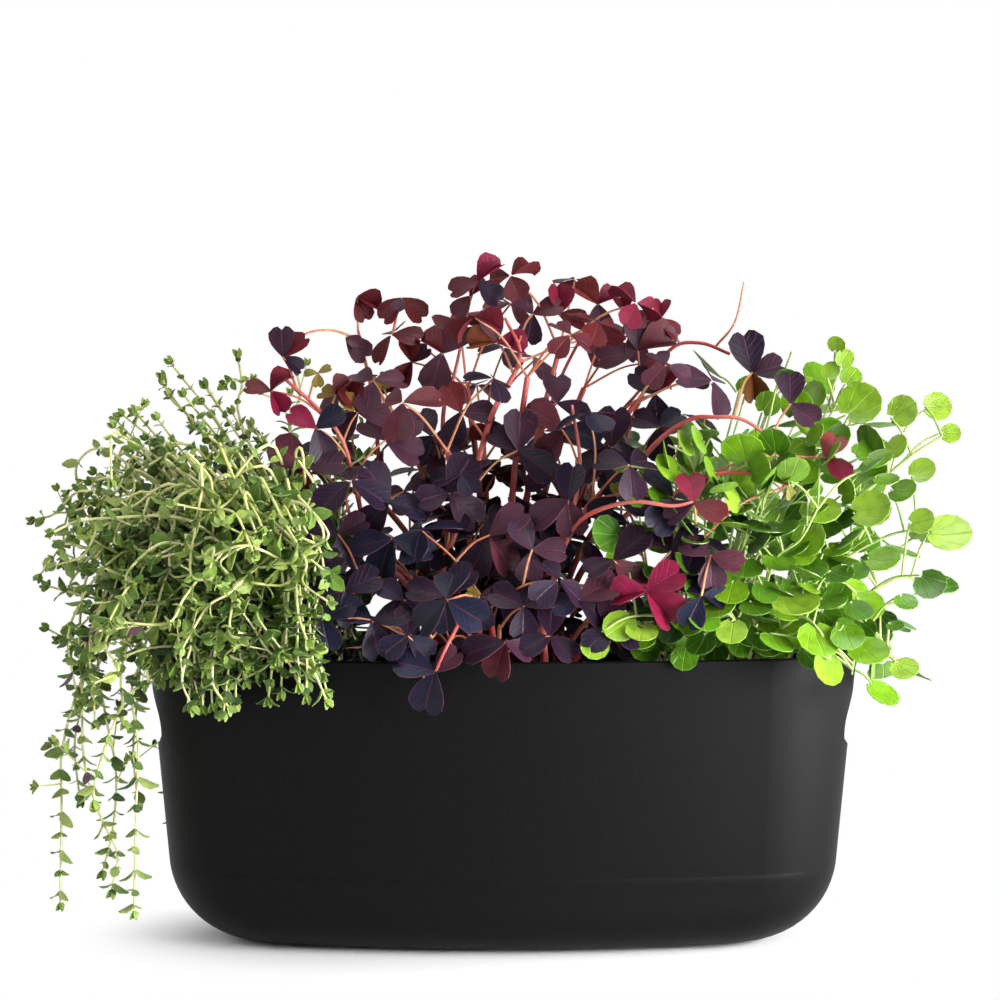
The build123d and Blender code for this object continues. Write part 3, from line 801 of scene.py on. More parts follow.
def stem_finish(name, low, high, fleck):
    """A stem's skin: two colours in broad patches, with fine flecks."""
    finish = Finish(name)
    patches = finish.speckle(0.03, 2.0)
    flecks = finish.speckle(0.0012, 3.0)
    skin = finish.mixed(finish.eased(patches, 0.35, 0.65), low, high)
    finish.set(
        base_color=finish.mixed(finish.eased(flecks, 0.55, 0.75) * 0.6, skin, fleck),
        roughness=0.45 + (flecks - 0.5) * 0.2,
    )
    finish.bump(flecks, 0.0002)
    return finish.material


# %% [markdown]
# Leaves must not grow through the tub's wall. These helpers know the tub's oval, two long arcs and two short,
# and tell whether a place is inside, outside or in the wall. A leaf or stem that hits it is left out.

# %% Room around the tub
# Half the rim's length and width and the radius of its ends, from which the long arcs follow
half_length = 0.1735
half_width = 0.07
end_radius = 0.058
end_centre = round(half_length - end_radius, 4)
side_radius = round((end_centre**2 + half_width**2 - end_radius**2) / (2 * (half_width - end_radius)), 4)
side_centre = round(side_radius - half_width, 4)
end_turn = math.atan2(end_centre, side_centre)
wall_slope = math.tan(math.radians(5.2))
# How thick the wall counts, how far a leaf stays off the floor, and how far from its middle a pot is open
wall_band = 0.005
floor_room = 0.004
pot_room = 0.044
rim_z = round(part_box("outer_shell")[1].z, 4)
pot_rim_z = round(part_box("thyme_pot")[1].z, 4)


def middle_x(node):
    """Where a node's middle is along the tub, to a tenth of a millimetre."""
    low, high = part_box(node)
    return round((low.x + high.x) / 2, 4)


pot_places = {herb: middle_x(f"{herb}_pot") for herb in herbs}


def beyond_tub(spot):
    """How far a place is outside the tub's outer wall at its own height. Inside, it is below zero."""
    x, y = abs(spot.x), abs(spot.y)
    if (x - end_centre) * math.cos(end_turn) > y * math.sin(end_turn):
        reach = math.hypot(x - end_centre, y) - end_radius
    else:
        reach = math.hypot(x, y + side_centre) - side_radius
    return reach + max(0, rim_z - spot.z) * wall_slope


def clear_of_tub(path, room=0.002):
    """Whether a leaf or stem, as places from foot to tip, stays clear of the wall, pots and floor."""
    was_outside = None
    for spot in path:
        if spot.z < floor_room:
            return False
        if spot.z > rim_z + room:
            was_outside = None
            continue
        beyond = beyond_tub(spot)
        outside = beyond > 0
        if -wall_band - room < beyond < room or was_outside not in (None, outside):
            return False
        if not outside and spot.z < pot_rim_z + room:
            if min(math.hypot(spot.x - x, spot.y) for x in pot_places.values()) > pot_room:
                return False
        was_outside = outside
    return True


print("pots at", pot_places, "rim at", rim_z, "long arcs of", side_radius)

# %% [markdown]
# A leaf's place is its stalk end, the way its tip points and the way its upper face looks.
# No two leaves or stems are quite alike, so small steps at random shift and turn them.


# %% Placing leaves and stems
def held(value, low=0, high=1):
    """A value held between two limits."""
    return min(high, max(low, value))


def placed(base, along, up, size, wide=1.0):
    """Where a leaf goes: its stalk end at base, its tip towards along and its upper face towards up."""
    along = along.normalized()
    across = along.cross(up)
    if across.length < 0.05:
        across = along.orthogonal()
    across.normalize()
    turn = Matrix((across, along, across.cross(along))).transposed().to_4x4()
    return Matrix.Translation(base) @ turn @ Matrix.Diagonal((size * wide, size, size, 1))


def steep_start(foot, brow):
    """A place that takes a stem steeply up from its foot, so that it clears the tub's rim."""
    start = foot.lerp(brow, 0.15)
    start.z = foot.z + 0.6 * (brow.z - foot.z)
    return start


def anywhere(amount):
    """A small step in any direction."""
    return Vector([chance.uniform(-1, 1) for _ in range(3)]) * amount


# %% [markdown]
# A herb is first set out, leaf by leaf and stem by stem, and then made into two pieces: leaves and stems.
# A leaf is a copy of its herb's model. Stems are kept as lines until the end, so that leaves can find them.

# %% Setting out a herb
bunch_size = 300


class Foliage:
    """The leaves and stems of one herb as they are set out, and then made into pieces."""

    def __init__(self, herb, name=None):
        self.herb = herb
        self.name = name or herb
        self.root = Vector((pot_places[herb], 0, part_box(f"{herb}_soil")[1].z - 0.002))
        self.leaves = []
        self.bunches = []
        self.stems = {}
        self.lines = []

    def grow(self, kind, points, thick, thin, steps=6):
        """Adds a stem through some points, unless it would hit the tub."""
        line = flowing(points, steps)
        if not clear_of_tub(line, 0.0015):
            return None
        self.stems.setdefault(kind, []).append((line, thick, thin))
        self.lines.append(line)
        return line

    def put(self, model, base, along, up, size, tone, wide=1.0):
        """Adds a leaf, unless it would hit the tub."""
        step = along.normalized() * size
        side = step.cross(up).normalized() * size * 0.3 * wide
        spots = [base, base + step / 2 + side, base + step / 2 - side, base + step]
        clear = clear_of_tub(spots)
        if clear:
            self.leaves.append(copied(model, placed(base, along, up, size, wide), held(tone)))
        if len(self.leaves) == bunch_size:
            self.bunch()
        return clear

    def bunch(self):
        """Joins the leaves so far, because Blender slows down when it holds thousands of objects."""
        if self.leaves:
            self.bunches.append(gather(self.leaves, f"{self.name}_bunch"))
            self.leaves = []

    def nearest_stem(self, spot, lower):
        """The place on a stem that is nearest to a spot and at least so much lower."""
        below = [p for line in self.lines for p in line[::2] if p.z < spot.z - lower and p.z > self.root.z]
        return min(below, key=lambda p: (p - spot).length, default=self.root)

    def root_at(self, x, y):
        """A place on the soil, in millimetres from its middle."""
        return self.root + Vector((x, y, 0)) / 1000

    def route(self, root, spots):
        """A stem's way: steeply up from a place on the soil, and then through spots in the picture."""
        start = self.root_at(*root)
        way = way_through(spots)
        return [start, steep_start(start, way[0]), *way]

    def stalk(self, kind, end, thick, foot=None):
        """A thin bowed stalk to a leaf from a stem below it, or over the rim where the tub is in the way."""
        if foot is None:
            foot = self.nearest_stem(end, lower=0.011)
        bow = foot.lerp(end, 0.5) + Vector((0, 0, 0.11 * (end - foot).length))
        over = foot.lerp(end, 0.6)
        over.z = max(rim_z, end.z) + 0.012
        for way in ([foot, bow, end], [foot, steep_start(foot, over), over, end]):
            if self.grow(kind, way, thick, thin=0.001, steps=4):
                self.lines.pop()
                return True
        print("no way for a stalk to", [round(v, 3) for v in end])
        return False

    def finish(self, leaf_slot, stem_slot, finishes):
        """Makes the leaves one piece and the stems another, and hands both to the herb's own body."""
        self.bunch()
        leaves = gather(self.bunches, f"{self.name}_foliage")
        tubes = [stem_piece(kind, stems, finishes[kind]) for kind, stems in self.stems.items()]
        stems = gather(tubes, f"{self.name}_stalks")
        for piece, node, slot in ((leaves, "leaves", leaf_slot), (stems, "stems", stem_slot)):
            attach(piece, f"{self.herb}_plant")
            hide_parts(f"{self.herb}_{node}")
            triangles = sum(len(face.vertices) - 2 for face in piece.data.polygons)
            low, high = ([round(v, 3) for v in piece.bound_box[corner]] for corner in (0, 6))
            print(piece.name, triangles, "triangles, from", low, "to", high)


# %% [markdown]
# The CAD model already says where each herb's stems and leaves are, with plain solids.
# So the detailed ones grow in the same places: a copy of a node's mesh is taken apart into loose solids.
# A leaf's narrow end, where most corners lie close together, is its stalk end.


# %% Leaves of the CAD model
def loose_solids(node):
    """The separate solids of a copy of a CAD node, one mesh after another."""
    start_fresh()
    guide = bpy.data.objects.new("herb_guide", nodes[node].data.copy())
    scene.collection.objects.link(guide)
    guide.select_set(True)
    bpy.context.view_layer.objects.active = guide
    bpy.ops.object.mode_set(mode="EDIT")
    bpy.ops.mesh.select_all(action="SELECT")
    bpy.ops.mesh.remove_doubles(threshold=0.00002)
    bpy.ops.mesh.separate(type="LOOSE")
    bpy.ops.object.mode_set(mode="OBJECT")
    for solid in list(bpy.context.selected_objects):
        yield solid.data
        bpy.data.objects.remove(solid)


def middle_of(spots):
    """The mean of some places."""
    return sum(spots, Vector()) / len(spots)


def cad_leaves(node):
    """Each leaf of a CAD node, as its stalk end, its direction, its upper side and its length."""
    found = []
    for mesh in loose_solids(node):
        corners = [corner.co.copy() for corner in mesh.vertices]
        size = max((a - b).length for a in corners for b in corners)
        groups = ([b for b in corners if (a - b).length < 0.15 * size] for a in corners)
        base = middle_of(max(groups, key=len))
        along = (middle_of(corners) - base).normalized()
        up = max(mesh.polygons, key=lambda face: face.area).normal.copy()
        if up.dot((0, -0.35, 0.8)) < 0:
            up.negate()
        found.append((base, along, up, max((corner - base).dot(along) for corner in corners)))
    print(node, "has", len(found), "leaves")
    return found


# %% [markdown]
# A stem of the CAD model is a row of rings, and its line runs through their middles.
# It starts at the ring nearest to the soil's middle and goes on to the thickest ring that is next.
# Where a stem branches, or is suddenly much thinner, another line starts.


# %% Stems of the CAD model
def cad_stems(herb, ring_size):
    """The middle lines of a herb's CAD stems, from the root on, each with its thickness."""
    soil_middle = Vector((pot_places[herb], 0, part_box(f"{herb}_soil")[1].z))
    lines = []
    for mesh in loose_solids(f"{herb}_stems"):
        ring_of = list(range(len(mesh.vertices)))
        for edge in mesh.edges:
            a, b = edge.vertices
            if (mesh.vertices[a].co - mesh.vertices[b].co).length < ring_size:
                keep, leave = sorted((ring_of[a], ring_of[b]))
                ring_of = [keep if ring == leave else ring for ring in ring_of]
        rings = {ring: [] for ring in set(ring_of)}
        for corner, ring in zip(mesh.vertices, ring_of):
            rings[ring].append(corner.co.copy())
        centres = {ring: middle_of(spots) for ring, spots in rings.items()}
        radii = {}
        for ring, spots in rings.items():
            radii[ring] = sum((spot - centres[ring]).length for spot in spots) / len(spots)
        joined = {ring: set() for ring in rings}
        for edge in mesh.edges:
            a, b = (ring_of[corner] for corner in edge.vertices)
            joined[a].add(b)
            joined[b].add(a)
        root = min(rings, key=lambda ring: (centres[ring] - soil_middle).length)
        ways, met = [[root]], {root}
        while ways:
            way = ways.pop()
            while onward := sorted(joined[way[-1]] - met, key=lambda ring: -radii[ring]):
                met.update(onward)
                ways += [[way[-1], ring] for ring in onward[1:]]
                if len(way) > 1 and radii[onward[0]] < 0.6 * radii[way[1]]:
                    ways.append([way[-1], onward[0]])
                    break
                way.append(onward[0])
            if len(way) > 1:
                lines.append(([centres[ring] for ring in way], 2 * radii[way[1]]))
    print(herb, "has", len(lines), "stems in the CAD model")
    return lines


# %% [markdown]
# Thyme grows as a mound of wiry stems that rise, arch over and trail. Small leaves sit on them in opposite
# pairs, each pair turned a quarter from the last. Short side shoots fill the mound.
# A particle system would scatter leaves anywhere, but pairs on their own stems are what makes it thyme.

# %% Thyme
leaf_sizes = (0.75, 0.9, 1.0, 1.15, 1.45)
thyme = Foliage("thyme")
runners = Foliage("thyme", "thyme_runner")
trails = Foliage("thyme", "thyme_trailing")


def painted_light_and_shade(spot):
    """Painted shade and light for a leaf's place: painted shade in the mound and beside the oxalis, painted
    light outside.
    """
    out = Vector(((spot.x + 0.118) / 0.1, spot.y / 0.09, (spot.z - 0.14) / 0.12)).length
    return held(0.7 * (out - 0.85), -0.35, 0.2) - 0.25 * held((spot.x + 0.1) / 0.03)


def leaf_pairs(plant, line, spacing, size, tone):
    """Sets opposite pairs of leaves along a stem, smaller towards its tip, and four small ones at its end."""
    travelled, due, quarter = 0.0, spacing * 2, chance.random()
    length = sum((b - a).length for a, b in zip(line, line[1:]))
    for start, end in zip(line, line[1:]):
        run = end - start
        if run.length < 1e-6:
            continue
        heading = run.normalized()
        while due <= travelled + run.length:
            spot = start + heading * (due - travelled)
            out = Matrix.Rotation(quarter * math.pi, 3, heading) @ heading.orthogonal().normalized()
            young = due / length
            airy = 1 - 0.3 * held((spot.z - 0.2) / 0.05)
            for side in (out, -out):
                along = side * chance.uniform(0.7, 1.0) + heading * chance.uniform(0.3, 0.9)
                leaf_size = size * airy * (1.1 - 0.45 * young**2) * chance.choice(leaf_sizes)
                purple = chance.random() < 0.012
                # A leaf's tone: painted shade or light for its place, a random drift, and paler towards the
                # stem's young tip.
                light = painted_light_and_shade(spot) + chance.gauss(0, 0.16) + 0.15 * young
                leaf_tone = 1 if purple else held(tone + light, 0, 0.92)
                up = heading + anywhere(0.35)
                plant.put(thyme_leaf, spot, along, up, leaf_size, leaf_tone, chance.uniform(0.9, 1.3))
            quarter += 0.5
            due += spacing * chance.uniform(0.75, 1.25) * (1.15 - 0.5 * young)
        travelled += run.length
    heading = line[-1] - line[-2]
    ahead = heading.normalized()
    for turn in range(4):
        side = Matrix.Rotation(turn * math.pi / 2, 3, ahead) @ heading.orthogonal().normalized()
        plant.put(thyme_leaf, line[-1], side * 0.5 + ahead, heading, size * 0.55, tone + 0.25)


def thyme_stem(points, tone=0.5, size=0.0086, shoots=0.3, spacing=0.0125, plant=thyme):
    """A stem with its leaves, and a share of the side shoots that it has room for."""
    line = plant.grow("thyme_stem", points, thick=0.0017, thin=0.0011, steps=5)
    if line:
        leaf_pairs(plant, line, spacing, size, tone)
        for spot in line[4:-3:3]:
            if chance.random() < shoots:
                heading = (anywhere(1) + Vector((0, -0.2, 0.9))).normalized() * chance.uniform(0.012, 0.024)
                way = [spot, spot + heading * 0.55, spot + heading]
                shoot = plant.grow("thyme_stem", way, thick=0.0009, thin=0.0006, steps=2)
                if shoot:
                    leaf_pairs(plant, shoot, 0.0065, size * 0.8, tone + 0.1)
    return line


chance = random.Random(21)
for points, _ in cad_stems("thyme", ring_size=0.002):
    thyme_stem([points[0], *(point + anywhere(0.004) for point in points[1:])], chance.gauss(0.46, 0.12))
print("thyme stems of the CAD model:", len(thyme.lines))

# %% [markdown]
# A living mound has more stems than the CAD model carries. These rise between the others, from anywhere
# on the soil, and the further one reaches out, the lower it stays.

# %% More thyme
extra_stems = 70
soil_reach = 30
for _ in range(extra_stems):
    turn = chance.uniform(0, math.tau)
    reach = 0.022 + 0.088 * chance.random() ** 0.8
    root_x = soil_reach * math.cos(turn) * chance.random()
    root = thyme.root_at(root_x, soil_reach * math.sin(turn) * chance.random())
    out = Vector((math.cos(turn) * 1.05, math.sin(turn) * 0.85, 0))
    top = 0.165 - 0.95 * reach + chance.uniform(-0.028, 0.012)
    droop = chance.uniform(0.0, 0.5) * max(0, reach - 0.05) / 0.06 * top
    tip = root + out * reach + Vector((-0.014, 0, top - droop))
    if -0.212 < tip.x < -0.062:
        bend = root + out * reach * 0.14 + Vector((0, 0, top * 0.45)) + anywhere(0.004)
        crest = root + out * reach * 0.52 + Vector((-0.006, 0, top * 0.9)) + anywhere(0.007)
        thyme_stem([root, bend, crest, tip], chance.gauss(0.46, 0.12))
print("thyme stems and shoots:", len(thyme.lines))

# %% [markdown]
# Pale runners loop over the front of the mound, with fewer leaves on them.
# Each rises to a brow and then wanders aside in four steps, sinking a little as it goes.

# %% Runners
runner_count = 95
for _ in range(runner_count):
    turn = chance.uniform(math.pi * 0.8, math.pi * 1.66)
    out = Vector((math.cos(turn), math.sin(turn), 0))
    aside = Vector((-out.y, out.x, 0)) * chance.choice((-1, 1))
    root = thyme.root_at(18 * out.x, 18 * out.y)
    high = chance.uniform(0.06, 0.13)
    brow = root + out * chance.uniform(0.03, 0.05) + Vector((-0.012, 0, high))
    runner = [root, root + out * 0.008 + Vector((0, 0, 0.6 * high)), brow]
    for _ in range(4):
        runner.append(runner[-1] + out * 0.005 + aside * chance.uniform(0.004, 0.016) + anywhere(0.01))
        runner[-1].x = min(runner[-1].x, -0.08 - chance.uniform(0, 0.02))
        runner[-1].z -= chance.uniform(0.0, 0.016)
    thyme_stem(runner, tone=0.55, size=0.009, shoots=0, spacing=0.019, plant=runners)
print("runners:", len(runners.lines))

# %% [markdown]
# Many short strands hang over the rim, in front and at the end, and hide it.
# Those in front follow the rim's own curve, so that each falls just outside it.

# %% Strands over the rim
strand_count = 72


def rim_front(x):
    """How far the front of the rim is from the tub's middle line, at a place along the tub."""
    x = abs(x)
    if x > end_centre + end_radius * math.sin(end_turn):
        return math.sqrt(max(0, end_radius**2 - (x - end_centre) ** 2))
    return math.sqrt(side_radius**2 - x**2) - side_centre


for _ in range(strand_count):
    at_end = chance.random() < 0.1
    if at_end:
        x = chance.uniform(-0.21, -0.186)
        y = chance.uniform(-0.055, 0.03)
        low = chance.uniform(0.1, 0.15)
    else:
        x = chance.uniform(-0.168, -0.088)
        y = -rim_front(x) - chance.uniform(0.006, 0.018)
        low = chance.uniform(0.128, 0.152)
    root = thyme.root_at(chance.uniform(-22, 22), chance.uniform(-28, 10))
    brow = root.lerp(Vector((x, y, 0)), 0.72)
    brow.z = rim_z + chance.uniform(0.02, 0.06)
    edge = Vector((x, y, rim_z + 0.008)) + Vector((0, 0, chance.uniform(0, 0.01)))
    tip = Vector((x, y, low)) + anywhere(0.008)
    strand = [root, steep_start(root, brow), brow, edge, tip]
    thyme_stem(strand, tone=0.5, size=0.0092, shoots=0.1, spacing=0.0115, plant=trails)
print("strands over the rim:", len(trails.lines))

# %% [markdown]
# The strands that trail over the tub's rim are the planter's most striking ones, so they are listed one by
# one.
# Each has its root on the soil, in millimetres from the pot's middle, and a row of spots in the picture,
# with a depth in millimetres in front of the tub's middle.

# %% Trailing thyme
trailing = [
    ((10, 10), [(190, 560, 40), (150, 600, 45), (140, 650, 50), (153, 680, 55),
                (130, 693, 58), (109, 736, 55), (95, 782, 50), (94, 800, 50)]),
    ((5, -5), [(150, 520, 30), (95, 560, 30), (80, 619, 30), (82, 690, 28),
               (84, 760, 25), (100, 815, 22), (117, 853, 20), (112, 889, 20)]),
    ((0, 0), [(150, 560, 10), (108, 600, 10), (98, 660, 12), (106, 718, 14),
              (116, 772, 16), (113, 828, 16), (103, 870, 14)]),
    ((2, -20), [(240, 600, 60), (252, 625, 72), (273, 655, 80), (309, 667, 82), (326, 699, 82)]),
    ((-2, -22), [(235, 590, 50), (263, 616, 66), (290, 632, 76), (312, 648, 80)]),
    ((-10, -24), [(200, 610, 62), (190, 650, 76), (182, 680, 80), (192, 706, 80)]),
    ((-6, -25), [(225, 615, 66), (215, 650, 78), (213, 684, 82), (228, 706, 82)]),
    ((8, -12), [(160, 600, 50), (130, 640, 56), (121, 675, 56), (124, 720, 54)]),
    ((0, 5), [(240, 420, -20), (242, 385, -22), (238, 358, -22)]),
    ((-5, 0), [(200, 430, -10), (172, 400, -12), (163, 380, -12)]),
    ((2, 5), [(170, 470, 0), (135, 440, 0), (118, 422, 0)]),
    ((-2, 2), [(290, 430, -12), (300, 395, -14), (296, 370, -14)]),
    ((-10, 10), [(110, 520, -10), (80, 500, -10), (66, 520, -10), (62, 560, -10)]),
]
for root, spots in trailing:
    if not thyme_stem(thyme.route(root, spots), tone=0.55, size=0.0095, plant=trails):
        print("a strand hits the tub:", spots[-1])
thyme_skin = stem_finish("thyme_stem_skin", (0.6, 0.64, 0.2), (0.8, 0.78, 0.4), (0.45, 0.45, 0.13))
for plant in (thyme, runners, trails):
    plant.finish("thyme_leaf", "thyme_stem", {"thyme_stem": thyme_skin})
drop(thyme_leaf)

# %% [markdown]
# The oxalis has a few thick red stems, which branch into thinner stalks with one trefoil on each.
# The main ones are listed: a root on the soil, the thickness at both ends in millimetres,
# and a row of spots in the picture. The other stems grow where the CAD model has them.

# %% Oxalis stems
oxalis = Foliage("oxalis")
chance = random.Random(8)
stalk_thick = 0.0014
main_stems = [
    ((-15, -25), 5.5, 1.5, [(440, 585, 40), (470, 492, 32), (492, 415, 28), (520, 358, 25), (505, 318, 22)]),
    ((20, -30), 4.6, 1.4, [(543, 630, 50), (551, 590, 52), (566, 538, 50), (580, 470, 45), (572, 405, 40)]),
    ((-20, 5), 4.0, 1.4, [(440, 520, 10), (442, 467, 12), (444, 408, 12), (455, 372, 10), (468, 310, 8)]),
    ((-28, -5), 3.0, 1.6, [(372, 545, 30), (358, 498, 35), (343, 442, 38), (319, 410, 40), (285, 379, 42)]),
    ((-25, 15), 3.0, 1.5, [(385, 480, -10), (376, 413, -8), (366, 365, -5), (358, 330, -4)]),
    ((25, -20), 3.2, 1.4, [(560, 560, 45), (581, 520, 60), (628, 502, 75), (672, 506, 80), (693, 502, 80)]),
    ((28, 5), 3.4, 1.6, [(600, 520, 10), (650, 450, 30), (687, 421, 40), (713, 417, 45),
                         (746, 421, 48), (784, 450, 50)]),
    ((30, -8), 2.6, 1.6, [(620, 560, 40), (680, 490, 55), (725, 473, 60), (782, 476, 62)]),
    ((22, 18), 2.8, 1.6, [(610, 480, -15), (640, 400, -10), (670, 350, -5), (700, 343, 0), (730, 354, 3)]),
    ((0, 20), 2.8, 1.6, [(520, 520, -20), (540, 440, -18), (560, 380, -15), (585, 330, -10)]),
    ((12, 10), 2.6, 1.6, [(575, 520, -5), (600, 440, 0), (640, 390, 5)]),
    ((-30, -18), 2.4, 1.4, [(400, 600, 40), (370, 585, 48), (352, 595, 56), (335, 615, 60)]),
    ((30, -25), 2.6, 1.6, [(600, 610, 58), (640, 585, 70), (662, 600, 76)]),
    ((-8, -34), 2.4, 1.5, [(465, 610, 58), (458, 625, 72), (445, 650, 82), (436, 671, 84)]),
]
for root, thick, thin, spots in main_stems:
    if oxalis.grow("oxalis_stem", oxalis.route(root, spots), thick / 1000, thin / 1000) is None:
        print("a stem hits the tub:", spots[-1])
twigs = [
    [(716, 346, 1), (735, 322, 0), (744, 282, 0)],
    [(356, 338, -4), (330, 330, 10), (303, 335, 25), (284, 357, 38)],
    [(518, 363, 25), (570, 343, 20), (607, 341, 15)],
]
for twig in twigs:
    oxalis.grow("oxalis_petiole", way_through(twig), stalk_thick, thin=0.0009)
for points, thickness in cad_stems("oxalis", ring_size=0.0032):
    if thickness > 0.003:
        oxalis.grow("oxalis_stem", points, thickness * 0.9, thickness * 0.6)
    else:
        oxalis.grow("oxalis_petiole", points, thickness * 0.9, thin=0.001)
print("oxalis stems:", len(oxalis.lines))

# %% [markdown]
# A trefoil is three notched leaflets on one stalk, in navy, purple, mauve or crimson. Those in front are
# listed: a middle in the picture with its depth, and the middle of each leaflet with its tone.
# Where a leaflet looks shorter than it is, the rest of its length goes into depth: it tilts to or from us.

# %% Oxalis trefoils in front
# The width of a pixel at the tub's middle, the row above which the leaves are young,
# and how far right and down the small leaves at the upper left go
pixel = -eye.y / picture / focal
young_row = 345
small_right, small_low = 430, 420
trefoils = [
    (478, 281, 20, [(490, 270, 0.8), (459, 287, 0.42), (497, 298, 0.2)]),
    (470, 296, 14, [(478, 288, 0.78), (462, 306, 0.5)]),
    (357, 297, -4, [(369, 301, 0.62), (362, 309, 0.6)]),
    (402, 298, 2, [(386, 314, 0.62), (399, 304, 0.4), (416, 310, 0.6)]),
    (346, 337, 0, [(353, 340, 0.42), (362, 352, 0.45)]),
    (283, 357, 38, [(294, 346, 0.62), (282, 342, 0.3), (293, 363, 0.2)]),
    (336, 395, 38, [(328, 393, 0.9), (347, 400, 0.88), (342, 386, 0.62)]),
    (380, 390, 8, [(378, 382, 0.97), (387, 383, 0.95)]),
    (533, 314, 10, [(524, 303, 0.4), (548, 308, 0.5), (530, 330, 0.25)]),
    (559, 314, 5, [(559, 298, 0.8), (574, 318, 0.6)]),
    (598, 304, 2, [(586, 293, 0.8), (608, 298, 0.8), (600, 319, 0.3)]),
    (626, 314, 0, [(623, 304, 0.7), (637, 318, 0.5)]),
    (660, 319, 0, [(661, 309, 0.8), (670, 327, 0.6), (650, 327, 0.5)]),
    (638, 350, 4, [(637, 335, 0.36), (613, 354, 0.42), (663, 342, 0.6)]),
    (497, 342, 22, [(479, 342, 0.9), (493, 328, 0.46), (518, 346, 0.76)]),
    (442, 353, 14, [(431, 344, 0.6), (454, 338, 0.46), (437, 372, 0.4)]),
    (412, 362, 8, [(408, 350, 0.6), (406, 374, 0.58), (420, 354, 0.36)]),
    (358, 412, 36, [(352, 398, 0.62), (374, 414, 0.45), (347, 424, 0.3)]),
    (386, 440, 36, [(375, 430, 0.42), (402, 428, 0.46), (404, 448, 0.4)]),
    (432, 436, 24, [(426, 423, 0.22), (447, 441, 0.2), (420, 448, 0.1)]),
    (461, 412, 26, [(454, 398, 0.58), (478, 412, 0.3), (456, 428, 0.2)]),
    (388, 502, 46, [(377, 481, 0.22), (372, 520, 0.18), (408, 506, 0.06)]),
    (449, 493, 42, [(434, 496, 0.2), (468, 512, 0.22), (460, 475, 0.2)]),
    (518, 450, 36, [(505, 440, 0.15), (536, 463, 0.2), (520, 430, 0.25)]),
    (562, 430, 30, [(546, 417, 0.5), (552, 444, 0.52), (584, 434, 0.04)]),
    (557, 403, 16, [(557, 389, 0.3), (574, 409, 0.25), (541, 409, 0.4)]),
    (611, 447, 34, [(613, 427, 0.2), (618, 466, 0.02), (591, 465, 0.16)]),
    (617, 497, 50, [(615, 484, 0.98), (632, 503, 0.1), (604, 508, 0.15)]),
    (655, 394, 10, [(644, 382, 0.2), (664, 380, 0.58), (657, 410, 0.1)]),
    (659, 427, 26, [(671, 420, 0.03), (646, 421, 0.2), (660, 444, 0.1)]),
    (392, 539, 60, [(372, 542, 0.05), (383, 562, 0.0), (414, 544, 0.02)]),
    (490, 535, 56, [(507, 522, 0.42), (479, 555, 0.2), (504, 557, 0.46)]),
    (568, 500, 58, [(546, 513, 0.42), (571, 518, 0.4), (570, 482, 0.08)]),
    (532, 550, 62, [(549, 550, 0.42), (530, 566, 0.3), (524, 535, 0.2)]),
    (444, 595, 70, [(446, 614, 0.02), (426, 591, 0.2), (458, 581, 0.18)]),
    (480, 596, 72, [(462, 588, 0.97), (480, 613, 0.2), (497, 595, 0.3)]),
    (524, 606, 74, [(524, 622, 0.15), (508, 598, 0.2), (540, 598, 0.25)]),
    (579, 600, 74, [(565, 602, 0.04), (595, 611, 0.2), (597, 589, 0.46)]),
    (614, 560, 68, [(600, 565, 0.2), (630, 545, 0.2), (630, 576, 0.52)]),
    (646, 591, 78, [(663, 580, 0.76), (629, 594, 0.78), (664, 611, 0.75)]),
    (671, 551, 70, [(663, 541, 0.2), (685, 541, 0.18), (672, 566, 0.15)]),
    (711, 555, 76, [(697, 549, 0.42), (726, 559, 0.48), (712, 572, 0.3)]),
    (435, 672, 84, [(416, 666, 0.05), (429, 692, 0.04), (446, 661, 0.4)]),
    (505, 642, 82, [(499, 660, 0.5), (482, 648, 0.2), (519, 648, 0.3)]),
    (308, 468, 46, [(287, 452, 0.5), (304, 486, 0.7), (326, 464, 0.3)]),
    (316, 428, 44, [(303, 419, 0.8), (329, 419, 0.02), (321, 445, 0.2)]),
    (318, 373, 40, [(309, 373, 0.97), (326, 369, 0.97), (318, 380, 0.97)]),
    (271, 391, 42, [(258, 388, 0.6), (277, 402, 0.8), (281, 382, 0.7)]),
    (752, 373, 8, [(748, 352, 0.2), (754, 388, 0.9), (768, 368, 0.3)]),
    (791, 404, 46, [(791, 388, 0.2), (803, 412, 0.3)]),
    (826, 458, 52, [(832, 447, 0.8), (836, 466, 0.7)]),
    (694, 502, 80, [(692, 489, 0.8), (708, 508, 0.6), (680, 510, 0.3)]),
    (788, 486, 62, [(792, 497, 1.0), (776, 480, 0.9)]),
    # The last rows are low trefoils deep in the bush, near black: their own navy darkened by painted shade.
    (345, 590, 68, [(330, 586, 0.05), (350, 608, 0.0), (362, 582, 0.1)]),
    (322, 618, 72, [(308, 612, 0.08), (326, 634, 0.02), (337, 610, 0.05)]),
    (372, 622, 74, [(358, 616, 0.0), (376, 640, 0.05), (390, 616, 0.15)]),
    (404, 600, 70, [(392, 592, 0.12), (404, 618, 0.04), (420, 604, 0.1)]),
    (408, 636, 78, [(396, 644, 0.08), (420, 646, 0.0), (408, 622, 0.2)]),
    (312, 570, 58, [(298, 566, 0.15), (318, 588, 0.05), (326, 562, 0.2)]),
    (338, 534, 50, [(324, 528, 0.2), (344, 552, 0.1), (352, 526, 0.3)]),
    (550, 636, 78, [(536, 642, 0.1), (562, 646, 0.15), (551, 622, 0.2)]),
    (612, 628, 78, [(600, 636, 0.15), (626, 634, 0.1), (612, 614, 0.3)]),
]


def leaflet(middle, reach, up, size, tone):
    """One leaflet of a trefoil. The red ones are young, and most of them are still folded."""
    model = folded_leaflet if 0.55 < tone < 0.95 and chance.random() < 0.6 else open_leaflet
    oxalis.put(model, middle, reach, up, size, tone + chance.gauss(0, 0.025))


